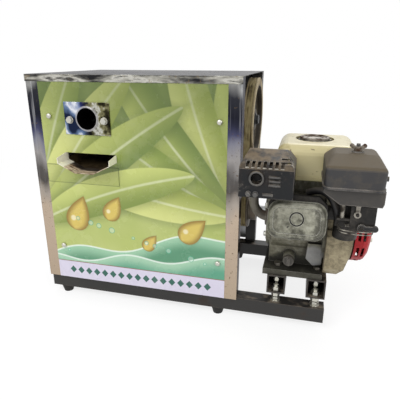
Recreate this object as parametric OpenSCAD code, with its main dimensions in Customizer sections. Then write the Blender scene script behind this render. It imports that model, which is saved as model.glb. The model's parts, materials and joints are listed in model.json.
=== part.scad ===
// Sugarcane juicer: a bright steel cabinet with crushing rollers and a gear
// train, driven through a V-belt by a small petrol engine on the same base.
// Units are millimetres, +Z up, the front faces -Y, the engine is at +X.
// Working frame: lower left corner of the front panel, on top of the base rail.
// place() moves that frame to the bottom centre of the whole machine.

/* [Cabinet] */
// width of the front panel between the posts
panel_w = 374; // [366:1:382]
// height of the front panel
panel_h = 420; // [414:1:426]
// width of a square corner post
post_w = 25; // [22:1:28]
// depth of the cabinet
cab_d = 311; // [308:1:318]
// thickness of the cabinet sheet
sheet_t = 1.5; // [1:0.1:2]
// height of the folded edge of the top cover
strip_h = 12; // [8:1:14]

/* [Base] */
// height and width of a base rail
rail_s = 30; // [26:1:34]
// wall of a base rail
rail_t = 3; // [2:0.5:4]
// height of a rubber foot
foot_h = 18; // [12:1:24]
// width of an engine bearer
bearer_w = 36; // [32:1:38]
// height of an engine bearer
bearer_h = 40; // [36:1:44]
// free height between rail and bearer
stud_gap = 20; // [19:1:24]

/* [Cane and juice] */
// diameter of the cane hole
cane_d = 41; // [34:1:44]
// distance of the cane hole from the left edge of the panel
inlet_x = 101; // [100:1:108]
// distance of the cane hole below the top edge of the panel
inlet_drop = 68; // [68:1:72]
// radius of a crushing roller
roll_r = 33; // [31:0.5:34]
// length of a crushing roller
roll_l = 100; // [96:1:104]
// gap between the rollers where the cane is crushed
nip = 3; // [2:0.5:4]
// how far the juice chute stands out
chute_out = 32; // [24:1:40]

/* [Drive] */
// thickness of a bearing plate
plate_t = 6; // [5:0.5:7]
// radius of a roller shaft
roll_shaft_r = 12; // [11:0.5:13]
// radius of the intermediate and jack shafts
jack_r = 10; // [9:0.5:11]
// radius of the large belt pulley
pulley_r = 88; // [85:1:89]
// radius of the belt pulley on the engine
pinion_pulley_r = 38; // [34:1:42]
// running clearance of a shaft in its bush
run_gap = 0.05; // [0.02:0.01:0.08]
// clearance between the belt and its groove
belt_gap = 0.35; // [0.3:0.05:0.6]

/* [Engine] */
// height of the crankshaft above the engine foot
crank_h = 97; // [96.5:0.5:99]
// rise of the cylinder above level
tilt = 18; // [16:0.5:20]
// distance from the crankshaft to the face of the head cover
head_reach = 205; // [203:1:207]
// spacing of the engine bolts along the crankshaft
bolt_x = 76; // [74:1:78]
// spacing of the engine bolts across the crankshaft
bolt_y = 162; // [158:1:164]
// radius of the red starter cover
recoil_r = 84; // [82:0.5:86]
// free gap of a part turned by hand
hand_gap = 0.3; // [0.25:0.05:0.4]

/* [Hidden] */
$fn = 48;
eps = 0.01;

// cabinet
cab_l = -post_w;
cab_r = panel_w + post_w;
cover_t = 1.2;
cover_top = panel_h + strip_h + cover_t;
inlet_z = panel_h - inlet_drop;
inlet_half_w = 47.5;
inlet_half_h = 31;
inlet_bolt = 36;

// rails and engine carriers
rail_y = 8;
rail_back = cab_d - 10 - rail_s;
belt_x = cab_r - 5;
ex = belt_x + 111;
ey = 110;
ez = stud_gap + bearer_h;
rail_end = ex + 65;
bearer_front = 12;
bolt_left = -30;
bolt_front = -74;

// rollers, all axes along X, positions as [y, z]
roll_teeth = 23;
roll_pitch = 2 * roll_r + nip;
roll_m = roll_pitch / roll_teeth;
roll_half = roll_pitch * 0.558;
roll_rise = sqrt(roll_pitch * roll_pitch - roll_half * roll_half);
mill_y = 126;
top_pos = [mill_y, inlet_z + 2 + roll_rise / 2];
front_pos = [mill_y - roll_half, top_pos[1] - roll_rise];
rear_pos = [mill_y + roll_half, top_pos[1] - roll_rise];

// gear stages
bull_m = 2.5;
bull_teeth = 56;
inter_teeth = 17;
first_m = 2.25;
first_teeth = 72;
jack_teeth = 17;
pulley_clear = 3;
jack_pos = [cab_d - post_w - pulley_clear - pulley_r, panel_h - 85];
d_bull = bull_m * (bull_teeth + inter_teeth) / 2;
d_first = first_m * (first_teeth + jack_teeth) / 2;
inter_pos = meet(front_pos, d_bull, jack_pos, d_first);

// stations along X
side_gap = 4;
p1_x = inlet_x - roll_l / 2 - side_gap - plate_t;
p2_x = inlet_x + roll_l / 2 + side_gap;
gear_w = 20;
gear_x = p2_x + plate_t + 5;
bull_w = 16;
bull_x = gear_x + gear_w + 4;
p3_x = bull_x + bull_w + 7;
first_w = 14;
first_x = p3_x + plate_t + 6;
p4_x = belt_x - 50;
bush_wall = 5;
bush_out = 1.5;

// belt and pulleys
groove_d = 11;
groove_top = 7;
groove_low = 4;
crank_pos = [ey, ez + crank_h];
belt_top = 0.5;
belt_h = 8;
belt_big = pulley_r - belt_top;
belt_small = pinion_pulley_r - belt_top;
span = dist(crank_pos, jack_pos);
lean = atan2(jack_pos[1] - crank_pos[1], jack_pos[0] - crank_pos[0]);
wrap = acos((belt_small - belt_big) / span);
belt_run = sqrt(span * span - (belt_big - belt_small) * (belt_big - belt_small));

// juice way
chute_z = inlet_z - 100;
tray_rise = 26;
tray_back = 235;
tray_gap = 0.7;
waste_z = inlet_z - 34;

// engine, lengths from the cylinder plane and the crankshaft
crank_r = 12.5;
pto_r = 9.5;
oil_pos = [-10, 31];
head_w = 96;
deck_a = 84;
head_a = 150;
cover_a = head_reach - 29;
cover_h = 64;
cover_drop = 5;
case_r = 78;
fan_low = 1;
fan_r = crank_h - fan_low;
fan_x = 55;
fan_l = 52;
recoil_x = fan_x + fan_l;
recoil_l = 31;

// upper parts of the engine, heights from the crankshaft
tank_gap = 4;
tank_z = fan_r + tank_gap;
tank_top = tank_z + 62;
tank_left = -45;
tank_right = 92;
tank_front = -100;
tank_back = 40;
cap_x = 20;
cap_y = -25;
box_z = 98;
pipe_x = -65;
pipe_z = 129;
port_x = -74;
port_y = -150;
port_z = 45;
bend_r = 26;
air_low = 95;
air_z = 120;
air_left = 34;
air_right = 124;
air_front = -214;
air_back = -104;
air_top = air_z + 46;
nut_x = 84;
nut_y = -150;
stud_top = air_top + 13;
carb_x = 81;
throttle_pos = [68, -117, 78];
choke_pos = [92, -178, 72];
tap_pos = [100, -178, 51];

// bottom centre of the machine
waste_out = 16;
front_y = ey + air_front;
back_y = cab_d + waste_out;
left_x = cab_l - cover_t;
right_x = ex + recoil_x + recoil_l;
mid_x = (left_x + right_x) / 2;
mid_y = (front_y + back_y) / 2;
ground = rail_s + foot_h;

steel = [0.78, 0.79, 0.80];
bright = [0.86, 0.87, 0.88];
black = [0.09, 0.085, 0.08];
iron = [0.36, 0.36, 0.37];
alloy = [0.62, 0.63, 0.61];
bronze = [0.66, 0.47, 0.25];
rubber = [0.05, 0.05, 0.05];
print_green = [0.68, 0.80, 0.45];
cream = [0.80, 0.76, 0.58];
red = [0.66, 0.09, 0.11];
dark = [0.22, 0.21, 0.21];
beige = [0.62, 0.55, 0.42];

// node to draw, or "all"

function dist(a, b) = sqrt((a[0] - b[0]) * (a[0] - b[0]) + (a[1] - b[1]) * (a[1] - b[1]));

// lower point at distance ra from a and rb from b
function meet(a, ra, b, rb) =
  let (d = dist(a, b), t = (d * d + ra * ra - rb * rb) / (2 * d), h = sqrt(ra * ra - t * t),
       u = (b - a) / d)
  a + t * u + h * [u[1], -u[0]];

// angle of the direction from a to b
function bearing(a, b) = atan2(b[1] - a[1], b[0] - a[0]);

// turn of a gear that meshes with one turned by p1, in the direction th
function mesh_turn(p1, th, z1, z2) = th + 180 + 360 / z2 * (0.5 - (p1 - th) * z1 / 360);

front_turn = 0;
top_turn = mesh_turn(front_turn, bearing(front_pos, top_pos), roll_teeth, roll_teeth);
rear_turn = mesh_turn(top_turn, bearing(top_pos, rear_pos), roll_teeth, roll_teeth);
inter_turn = mesh_turn(front_turn, bearing(front_pos, inter_pos), bull_teeth, inter_teeth);
jack_turn = mesh_turn(inter_turn, bearing(inter_pos, jack_pos), first_teeth, jack_teeth);

function polar(r, a) = [r * cos(a), r * sin(a)];
function inv_deg(phi) = tan(phi) * 180 / PI - phi;
// half angle of an involute tooth at radius r, thinned for backlash
function tooth_half(r, m, z) =
  let (rp = m * z / 2, rb = rp * cos(20), rr = max(r, rb))
  90 / z - 0.14 / rp * 180 / PI + inv_deg(20) - inv_deg(acos(min(1, rb / rr)));
function tooth_radii(m, z) = [m * (z / 2 - 1.2), m * (z / 2 - 0.2), m * (z / 2 + 0.9)];
function gear_points(m, z) =
  let (rs = tooth_radii(m, z))
  [for (k = [0 : z - 1]) each concat(
    [for (i = [0 : 2]) polar(rs[i], 360 * k / z - tooth_half(rs[i], m, z))],
    [for (i = [2 : -1 : 0]) polar(rs[i], 360 * k / z + tooth_half(rs[i], m, z))])];

// moves the working frame to the bottom centre of the machine
module place() {
  translate([-mid_x, -mid_y, ground])
    children();
}

// engine frame: cylinder plane, crankshaft, top of the bearers
module at_engine() {
  translate([ex, ey, ez])
    children();
}

// engine frame with its height zero on the crankshaft
module at_crank() {
  at_engine()
    translate([0, 0, crank_h])
      children();
}

// cylinder frame: Z runs out along the cylinder, Y is the upper side
module along_cylinder() {
  rotate([90 - tilt, 0, 0])
    children();
}

module box(x0, x1, y0, y1, z0, z1) {
  translate([x0, y0, z0])
    cube([x1 - x0, y1 - y0, z1 - z0]);
}

module xcyl(x0, x1, pos, r) {
  translate([x0, pos[0], pos[1]])
    rotate([0, 90, 0])
      cylinder(h = x1 - x0, r = r);
}

module ycyl(y0, y1, x, z, r) {
  translate([x, y1, z])
    rotate([90, 0, 0])
      cylinder(h = y1 - y0, r = r);
}

module zcyl(z0, z1, x, y, r) {
  translate([x, y, z0])
    cylinder(h = z1 - z0, r = r);
}

// hexagon across corners 2 r, axis along Z
module hexz(z0, z1, x, y, r) {
  translate([x, y, z0])
    cylinder(h = z1 - z0, r = r, $fn = 6);
}

module hexy(y0, y1, x, z, r) {
  translate([x, y1, z])
    rotate([90, 0, 0])
      cylinder(h = y1 - y0, r = r, $fn = 6);
}

// draws a Y-Z outline and gives it a length along X
module slab_x(x0, x1, pts) {
  translate([x0, 0, 0])
    rotate([90, 0, 90])
      linear_extrude(height = x1 - x0)
        polygon(pts);
}

// draws an X-Z outline and gives it a length along Y
module slab_y(y0, y1, pts) {
  translate([0, y1, 0])
    rotate([90, 0, 0])
      linear_extrude(height = y1 - y0)
        polygon(pts);
}

// turned body on an axis along X, points as [radius, x]
module turned_x(x0, pos, pts) {
  translate([x0, pos[0], pos[1]])
    rotate([0, 90, 0])
      rotate_extrude()
        polygon(pts);
}

// box with round vertical corners, centred in X and Y
module rbox(w, d, h, r) {
  translate([-w / 2 + r, -d / 2, 0])
    cube([w - 2 * r, d, h]);
  translate([-w / 2, -d / 2 + r, 0])
    cube([w, d - 2 * r, h]);
  for (i = [-1, 1], j = [-1, 1])
    translate([i * (w / 2 - r), j * (d / 2 - r), 0])
      cylinder(h = h, r = r);
}

// spur gear with its axis along X
module gear_x_axis(x0, w, pos, m, z, turn) {
  translate([x0, pos[0], pos[1]])
    rotate([90, 0, 90])
      rotate([0, 0, turn])
        linear_extrude(height = w)
          polygon(gear_points(m, z));
}

// channel rail along X, open below, closed at both ends
module rail(y0) {
  difference() {
    box(cab_l, rail_end, y0, y0 + rail_s, -rail_s, 0);
    box(cab_l + rail_t, rail_end - rail_t, y0 + rail_t, y0 + rail_s - rail_t, -rail_s - 1, -rail_t);
    for (i = [0, 1])
      zcyl(-rail_t - 1, 1, stud_x(i), y0 + rail_s / 2, 5.3);
  }
}

function stud_x(i) = ex + bolt_left + i * bolt_x;

module base_rail_front() {
  place() color(black) rail(rail_y);
}

module base_rail_rear() {
  place() color(black) rail(rail_back);
}

module rubber_feet() {
  place() color(rubber)
    for (x = [2, panel_w - 17], y = [rail_y, rail_back])
      translate([x, y + rail_s / 2, -ground])
        cylinder(h = foot_h, r1 = 10, r2 = min(18, rail_s / 2));
}

// square tube across both rails, carries one side of the engine
module bearer(i) {
  x = stud_x(i);
  w = bearer_w / 2;
  difference() {
    box(x - w, x + w, bearer_front, cab_d - 6, stud_gap, ez);
    box(x - w + 3, x + w - 3, bearer_front - 1, cab_d, stud_gap + 3, ez - 3);
    for (y = [rail_y, rail_back])
      zcyl(stud_gap - 1, stud_gap + 4, x, y + rail_s / 2, 5.3);
    for (j = [0, 1])
      zcyl(ez - 4, ez + 1, x, ey + bolt_front + j * bolt_y, 4.4);
  }
}

module bearer_left() {
  place() color(black) bearer(0);
}

module bearer_right() {
  place() color(black) bearer(1);
}

// threaded studs that set the height of the bearers
module bearer_studs() {
  place() color(steel)
    for (i = [0, 1], y = [rail_y, rail_back])
      translate([stud_x(i), y + rail_s / 2, 0]) {
        zcyl(-rail_t - 10, stud_gap + 15, 0, 0, 5);
        zcyl(0, 1.5, 0, 0, 9.5);
        hexz(1.5, 9, 0, 0, 8.6);
        zcyl(stud_gap - 1.5, stud_gap, 0, 0, 9.5);
        hexz(stud_gap - 9, stud_gap - 1.5, 0, 0, 8.6);
        hexz(stud_gap + 3, stud_gap + 11, 0, 0, 8.6);
        hexz(-rail_t - 8, -rail_t, 0, 0, 8.6);
      }
}

// square tube post with its outer corner at x, y
module post(x, y) {
  difference() {
    box(x, x + post_w, y, y + post_w, 0, panel_h + strip_h);
    box(x + 2, x + post_w - 2, y + 2, y + post_w - 2, -1, panel_h + strip_h + 1);
  }
}

module post_front_left() {
  place() color(bright) {
    post(cab_l, 0);
    box(0, 26, sheet_t, sheet_t + 2, 0, panel_h);
  }
}

module post_front_right() {
  place() color(bright) {
    post(panel_w, 0);
    box(panel_w - 26, panel_w, sheet_t, sheet_t + 2, 0, panel_h);
  }
}

module post_rear_left() {
  place() color(bright) post(cab_l, cab_d - post_w);
}

module post_rear_right() {
  place() color(bright) post(panel_w, cab_d - post_w);
}

// outline of the juice gutter in X-Z, grown by g
function gutter(g) = [[inlet_x - 54 - g, chute_z + 32], [inlet_x - 54 - g, chute_z + 17 - g * 0.5],
  [inlet_x - 19 - g * 0.3, chute_z - g], [inlet_x + 19 + g * 0.3, chute_z - g],
  [inlet_x + 54 + g, chute_z + 17 - g * 0.5], [inlet_x + 54 + g, chute_z + 32]];

screw_spots = [[19, inlet_z + 3], [panel_w - 14, inlet_z + 3], [19, 78], [panel_w - 14, 78]];

module front_panel() {
  place() color(print_green)
    difference() {
      union() {
        box(0, panel_w, 0, sheet_t, 0, panel_h);
        box(1, inlet_x + 58, -1, 0, chute_z - 31, chute_z + 6);
      }
      ycyl(-2, sheet_t + 1, inlet_x, inlet_z, cane_d / 2 + 4);
      slab_y(-2, sheet_t + 1, gutter(1.5));
      for (s = screw_spots)
        ycyl(-1, sheet_t + 1, s[0], s[1], 2.6);
    }
}

module panel_screws() {
  place() color(steel)
    for (s = screw_spots) {
      ycyl(-2.5, 0, s[0], s[1], 5);
      ycyl(-eps, sheet_t, s[0], s[1], 2.5);
    }
}

module left_panel() {
  place() color(steel)
    box(cab_l, cab_l + sheet_t, post_w, cab_d - post_w, 0, panel_h + strip_h);
}

module back_panel() {
  place() color(steel)
    difference() {
      box(0, panel_w, cab_d - sheet_t, cab_d, 0, panel_h + strip_h);
      box(inlet_x - 58, inlet_x + 58, cab_d - 5, cab_d + 1, waste_z - 34, waste_z + 22);
    }
}

// sheet lid over the posts, folded down on three sides and open over the pulley
module top_cover() {
  place() color(bright)
    difference() {
      box(left_x, cab_r, -cover_t, cab_d + cover_t, panel_h, cover_top);
      box(cab_l, cab_r + 1, 0, cab_d, panel_h - 1, panel_h + strip_h);
    }
}

// bright plate with the tube that guides the cane to the rollers
module inlet_plate() {
  place() color(bright)
    difference() {
      union() {
        box(inlet_x - inlet_half_w, inlet_x + inlet_half_w, -2, 0, inlet_z - inlet_half_h,
          inlet_z + inlet_half_h);
        ycyl(-3.5, -2, inlet_x, inlet_z, cane_d / 2 + 2);
        ycyl(-eps, 48, inlet_x, inlet_z, cane_d / 2 + 3.5);
      }
      ycyl(-5, 50, inlet_x, inlet_z, cane_d / 2);
    }
}

module inlet_bolts() {
  place() color(steel)
    for (s = [-1, 1]) {
      ycyl(-3.2, -2, inlet_x + s * inlet_bolt, inlet_z - 3, 7);
      hexy(-8, -3.2, inlet_x + s * inlet_bolt, inlet_z - 3, 6.2);
    }
}

// bent gutter that stands out of the front panel
module juice_chute() {
  place() color(bright)
    difference() {
      slab_y(-chute_out, 8, gutter(1.2));
      slab_y(-chute_out - 1, 9, gutter(0));
      slab_x(inlet_x - 60, inlet_x + 60, [[-chute_out - 1, chute_z + 27], [0, chute_z + 32],
        [0, chute_z + 40], [-chute_out - 1, chute_z + 40]]);
    }
}

function tray_floor(y) = chute_z + tray_rise * (y - 8) / (tray_back - 8);

// sloping pan under the rollers, on one bearing plate and on two lugs to the other
module juice_tray() {
  x0 = p1_x + plate_t;
  x1 = p2_x - bush_out - tray_gap;
  place() color(steel) {
    difference() {
      slab_x(x0, x1, [[8, tray_floor(8) - 2], [tray_back, tray_floor(tray_back) - 2],
        [tray_back, tray_floor(tray_back) + 12], [8, tray_floor(8) + 22]]);
      slab_x(x0 + 1.5, x1 - 1.5, [[7, tray_floor(7)], [tray_back - 1.5, tray_floor(tray_back - 1.5)],
        [tray_back - 1.5, chute_z + 90], [7, chute_z + 90]]);
    }
    for (y = [16, tray_back - 20])
      box(x1 - eps, p2_x, y, y + 14, tray_floor(y) + 2, tray_floor(y) + 9);
  }
}

function waste_floor(y) = waste_z - 20 * (y - 204) / 100;

// sloping pan that leads the pressed cane out of the back
module waste_chute() {
  x0 = p1_x + plate_t;
  y1 = cab_d + waste_out;
  place() color(steel)
    difference() {
      slab_x(x0, p2_x, [[204, waste_floor(204) - 2], [y1, waste_floor(y1) - 2],
        [y1, waste_floor(y1) + 14], [204, waste_floor(204) + 14]]);
      slab_x(x0 + 1.5, p2_x - 1.5, [[203, waste_floor(203)], [y1 + 1, waste_floor(y1 + 1)],
        [y1 + 1, waste_z + 40], [203, waste_z + 40]]);
    }
}

// bearing plate on both rails, with a bore for each bush
module bearing_plate(x0, y0, y1, top, bores) {
  foot = cab_d - 14;
  difference() {
    slab_x(x0, x0 + plate_t, [[12, 0], [foot, 0], [foot, 60], [y1, top], [y0, top], [12, 60]]);
    for (b = bores)
      xcyl(x0 - 1, x0 + plate_t + 1, b[0], b[1] + bush_wall);
  }
}

left_bores = [[top_pos, roll_shaft_r], [front_pos, roll_shaft_r], [rear_pos, roll_shaft_r]];
mid_bores = concat(left_bores, [[inter_pos, jack_r]]);
gear_bores = [[front_pos, roll_shaft_r], [inter_pos, jack_r], [jack_pos, jack_r]];
pulley_bores = [[jack_pos, jack_r]];
plate_top = panel_h - 2;
low_top = plate_top - 40;
plate_edge = 35;
mill_front = front_pos[0] - plate_edge;
mill_back = rear_pos[0] + plate_edge;
jack_front = jack_pos[0] - plate_edge;
jack_back = jack_pos[0] + plate_edge;

module plate_left() {
  place() color(iron) bearing_plate(p1_x, mill_front, mill_back, plate_top, left_bores);
}

module plate_mid() {
  place() color(iron) bearing_plate(p2_x, mill_front, mill_back, plate_top, mid_bores);
}

module plate_gear() {
  place() color(iron) bearing_plate(p3_x, mill_front, jack_back, low_top, gear_bores);
}

module plate_pulley() {
  place() color(iron) bearing_plate(p4_x, jack_front, jack_back, low_top, pulley_bores);
}

// bronze bushes in one bearing plate
module bushes(x0, bores) {
  for (b = bores)
    difference() {
      xcyl(x0 - bush_out, x0 + plate_t + bush_out, b[0], b[1] + bush_wall);
      xcyl(x0 - 5, x0 + plate_t + 5, b[0], b[1] + run_gap);
    }
}

module shaft_bushes() {
  place() color(bronze) {
    bushes(p1_x, left_bores);
    bushes(p2_x, mid_bores);
    bushes(p3_x, gear_bores);
    bushes(p4_x, pulley_bores);
  }
}

// bar that turns the cane from the first nip into the second
module turn_plate() {
  place() color(steel)
    difference() {
      box(p1_x + plate_t, p2_x, top_pos[0] - 12, top_pos[0] + 12, front_pos[1] - 12, top_pos[1] - roll_r);
      for (p = [top_pos, front_pos, rear_pos])
        xcyl(0, p2_x + 5, p, roll_r + 1.5);
    }
}

// crushing roller with shallow grooves, turned in one piece with its shaft
module roller(pos, x_end) {
  x0 = inlet_x - roll_l / 2;
  xcyl(p1_x - 5, x_end, pos, roll_shaft_r);
  difference() {
    xcyl(x0, x0 + roll_l, pos, roll_r);
    for (i = [1 : 9])
      translate([x0 + i * roll_l / 10, pos[0], pos[1]])
        rotate([0, 90, 0])
          rotate_extrude()
            polygon([[roll_r - 1.5, -0.5], [roll_r + 1, -2], [roll_r + 1, 2], [roll_r - 1.5, 0.5]]);
  }
}

module roller_top() {
  place() color(steel) roller(top_pos, gear_x + gear_w);
}

module roller_front() {
  place() color(steel) roller(front_pos, p3_x + plate_t + 4);
}

module roller_rear() {
  place() color(steel) roller(rear_pos, gear_x + gear_w);
}

// gear with a bore that sits on its shaft
module bored_gear(x0, w, pos, m, z, turn, r) {
  difference() {
    gear_x_axis(x0, w, pos, m, z, turn);
    xcyl(x0 - 1, x0 + w + 1, pos, r);
  }
}

module gear_top() {
  place() color(iron)
    bored_gear(gear_x, gear_w, top_pos, roll_m, roll_teeth, top_turn, roll_shaft_r);
}

module gear_front() {
  place() color(iron)
    bored_gear(gear_x, gear_w, front_pos, roll_m, roll_teeth, front_turn, roll_shaft_r);
}

module gear_rear() {
  place() color(iron)
    bored_gear(gear_x, gear_w, rear_pos, roll_m, roll_teeth, rear_turn, roll_shaft_r);
}

module bull_gear() {
  place() color(iron)
    bored_gear(bull_x, bull_w, front_pos, bull_m, bull_teeth, front_turn, roll_shaft_r);
}

module inter_shaft() {
  place() color(steel) {
    xcyl(p2_x - bush_out, first_x + first_w + 4, inter_pos, jack_r);
    gear_x_axis(bull_x - 2, bull_w + 4, inter_pos, bull_m, inter_teeth, inter_turn);
  }
}

module inter_gear() {
  place() color(iron)
    bored_gear(first_x, first_w, inter_pos, first_m, first_teeth, inter_turn, jack_r);
}

module jack_shaft() {
  place() color(steel) {
    xcyl(p3_x - 4, belt_x + 5, jack_pos, jack_r);
    gear_x_axis(first_x - 2, first_w + 4, jack_pos, first_m, jack_teeth, jack_turn);
  }
}

// large pulley with a recessed web, as [radius, x]
function pulley_points(r) = [[jack_r, -14], [22, -14], [22, -8], [r - 18, -8], [r - 16, -10], [r, -10],
  [r, -groove_top], [r - groove_d, -groove_low], [r - groove_d, groove_low], [r, groove_top],
  [r, 10], [r - 16, 10], [r - 18, -2], [22, -2], [22, 4], [jack_r, 4]];

module drive_pulley() {
  place() color(iron) turned_x(belt_x, jack_pos, pulley_points(pulley_r));
}

// half width of the groove at depth d, less the belt clearance
function belt_half(d) = groove_top - (groove_top - groove_low) * d / groove_d - belt_gap;

// belt section as [out from the pulley, along the axis], outer radius r
function belt_section(r) = [[r - belt_h, -belt_half(belt_top + belt_h)], [r, -belt_half(belt_top)],
  [r, belt_half(belt_top)], [r - belt_h, belt_half(belt_top + belt_h)]];

// stations along one arc of the belt, as [centre, outer radius, angle]
function arc_stations(pos, r, from, sweep, n) = [for (i = [0 : n]) [pos, r, from + sweep * i / n]];

belt_stations = concat(
  arc_stations(jack_pos, belt_big, lean - wrap, 2 * wrap, 48),
  arc_stations(crank_pos, belt_small, lean + wrap, 360 - 2 * wrap, 24));

// ring of the V section at one station
function belt_ring(s) =
  [for (k = belt_section(s[1])) [belt_x + k[1], s[0][0] + k[0] * cos(s[2]), s[0][1] + k[0] * sin(s[2])]];

// the side of the belt between corner k of ring i and the next ring
function belt_side(i, k) =
  let (j = (i + 1) % len(belt_stations), q = (k + 1) % 4)
  [4 * i + k, 4 * i + q, 4 * j + q, 4 * j + k];

module v_belt() {
  n = len(belt_stations);
  place() color(rubber)
    polyhedron(
      points = [for (s = belt_stations) each belt_ring(s)],
      faces = [for (i = [0 : n - 1], k = [0 : 3]) belt_side(i, k)]);
}

// crankcase with foot flange, side covers, cylinder deck and tank bracket
module crankcase() {
  c = [0, crank_h];
  place() at_engine() color(alloy)
    difference() {
      union() {
        box(-58, fan_x - 0.5, -96, 104, 0, 12);
        box(-50, fan_x - 5, -60, 70, 12 - eps, crank_h);
        xcyl(-47, fan_x - 5 + eps, c, case_r);
        xcyl(-58, -47 + eps, c, 70);
        xcyl(-65, -58 + eps, c, 30);
        xcyl(fan_x - 5, fan_x, c, fan_r);
        translate([0, 0, crank_h])
          along_cylinder()
            translate([-48, -42, 0])
              cube([96, 84, deck_a]);
        box(-32, 44, -62, 22, crank_h + 20, crank_h + tank_z);
        ycyl(-84, -55, oil_pos[0], oil_pos[1], 11);
        slab_y(-78, -55, [[22, 34], [36, 20], [52, 24], [52, 66], [24, 66]]);
      }
      xcyl(-70, fan_x + 1, c, crank_r + run_gap);
      ycyl(-90, -70, oil_pos[0], oil_pos[1], 7);
      for (i = [0, 1], j = [0, 1])
        zcyl(-1, 13, bolt_left + i * bolt_x, bolt_front + j * bolt_y, 4.4);
    }
}

// plate with cut corners, centred on the cylinder axis
module fin(w, d, h, cut) {
  x = w / 2;
  y = d / 2;
  linear_extrude(height = h)
    polygon([[-x + cut, -y], [x - cut, -y], [x, -y + cut], [x, y - cut], [x - cut, y], [-x + cut, y],
      [-x, y - cut], [-x, -y + cut]]);
}

// cylinder barrel, cooling fins and head, face to face with the deck
module cylinder_block() {
  place() at_crank() along_cylinder() color(alloy) {
    translate([0, 0, deck_a])
      cylinder(h = head_a - deck_a, r = 36);
    for (i = [0 : 7])
      translate([0, 0, deck_a + 4 + i * 8])
        fin(head_w, 76, 3, 12);
    translate([0, 0, head_a])
      fin(head_w, 72, cover_a - head_a, 14);
  }
}

// rounded rocker cover with a flange, a raised border and a ring groove
module head_cover() {
  deep = head_reach - cover_a;
  place() at_crank() along_cylinder() color(alloy)
    translate([0, -cover_drop, cover_a])
      difference() {
        union() {
          rbox(head_w, cover_h, 4, 20);
          translate([0, 0, 4 - eps])
            rbox(head_w - 6, cover_h - 6, deep - 10, 19);
          hull() {
            translate([0, 0, deep - 6 - 2 * eps])
              rbox(head_w - 6, cover_h - 6, 0.5, 19);
            translate([0, 0, deep - 2])
              rbox(head_w - 10, cover_h - 10, 0.5, 17);
            translate([0, 0, deep - 0.5])
              rbox(head_w - 14, cover_h - 14, 0.5, 15);
          }
        }
        translate([0, 0, deep - 1.6])
          rbox(head_w - 22, cover_h - 22, 3, 12);
        translate([0, 3, deep - 3])
          difference() {
            cylinder(h = 3, r = 11.5);
            cylinder(h = 3, r = 9.6);
          }
      }
}

// duct that leads the fan air to the cylinder, outside the round of the bowl
module fan_duct() {
  low = -fan_r + 1;
  difference() {
    intersection() {
      slab_x(fan_x, fan_x + fan_l, [[0, low], [-60, low + 2], [-88, low + 11], [-105, low + 29],
        [-110, low + 55], [-110, 0], [-102, 10], [0, 10]]);
      slab_y(-120, 1, [[fan_x, low], [fan_x + 13, low + 2], [fan_x + 25, low + 11], [fan_x + 35, low + 29],
        [fan_x + 41, low + 55], [fan_x + 43, 0], [fan_x + 43, 11], [fan_x, 11]]);
    }
    xcyl(fan_x - 1, fan_x + 80, [0, 0], fan_r - 1);
  }
}

// bowl over the flywheel, open towards the crankcase, with its duct
module fan_cover() {
  place() at_crank() color(beige) {
    ycyl(fan_r - 1.5, fan_r + 2.7, fan_x + 16, 0, 3 - run_gap);
    turned_x(fan_x, [0, 0], [[fan_r - 2, 0], [fan_r, 0], [fan_r, 30], [fan_r - 3, 41],
      [fan_r - 10, 49], [fan_r - 20, fan_l], [fan_r - 41, fan_l], [fan_r - 41, fan_l - 2],
      [fan_r - 21, fan_l - 2], [fan_r - 11.5, 47.3], [fan_r - 4.8, 40], [fan_r - 2, 30]]);
    fan_duct();
  }
}

// red starter cover with two rows of slots round its wall
module recoil_cover() {
  r = recoil_r;
  place() at_crank() color(red)
    difference() {
      turned_x(recoil_x, [0, 0], [[r - 26, 0], [r, 0], [r, 16], [r - 4, 23], [r - 12, 28],
        [r - 24, recoil_l], [0, recoil_l], [0, recoil_l - 3], [r - 25, recoil_l - 3], [r - 13.5, 25],
        [r - 6.5, 21], [r - 3, 15], [r - 3, 3], [r - 26, 3]]);
      for (k = [0 : 11], row = [0, 1])
        translate([recoil_x + 5 + row * 9, 0, 0])
          rotate([30 * k, 0, 0])
            translate([0, -14, r - 9])
              cube([5, 28, 15]);
    }
}

// rounded tank volume, shrunk by g
module tank_volume(g) {
  r = 20 - g;
  hull() {
    for (x = [tank_left + g + r, tank_right - g - r], y = [tank_front + g + r, tank_back - g - r]) {
      translate([x, y, tank_top - g - r])
        sphere(r = r, $fn = 24);
      translate([x, y, tank_z + 6 + g])
        cylinder(h = 1, r = r, $fn = 24);
    }
  }
}

// sheet tank with a seam flange, a filler recess and a neck
module fuel_tank() {
  place() at_crank() color(cream)
    difference() {
      union() {
        tank_volume(0);
        translate([(tank_left + tank_right) / 2, (tank_front + tank_back) / 2, tank_z])
          rbox(tank_right - tank_left + 4, tank_back - tank_front + 4, 6.5, 22);
      }
      difference() {
        tank_volume(2.5);
        zcyl(tank_z, tank_top, cap_x, cap_y, 37.5);
      }
      difference() {
        zcyl(tank_top - 12, tank_top + 5, cap_x, cap_y, 35);
        zcyl(tank_top - 13, tank_top - 4, cap_x, cap_y, 20);
      }
      zcyl(tank_z + 12, tank_top + 5, cap_x, cap_y, 16);
      box(cap_x, cap_x + 45, cap_y - 6, cap_y + 6, tank_z + 14, tank_z + 26);
    }
}

// filler cap with a ribbed rim, hollow over the neck
module fuel_cap() {
  place() at_crank() color(steel)
    difference() {
      union() {
        zcyl(tank_top - 11.7, tank_top + 1, cap_x, cap_y, 27);
        for (k = [0 : 11])
          translate([cap_x, cap_y, tank_top - 11.7])
            rotate([0, 0, 30 * k])
              translate([25, -3, 0])
                cube([5, 6, 10.5]);
      }
      zcyl(tank_top - 13, tank_top - 4 + hand_gap, cap_x, cap_y, 20 + hand_gap);
    }
}

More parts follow.
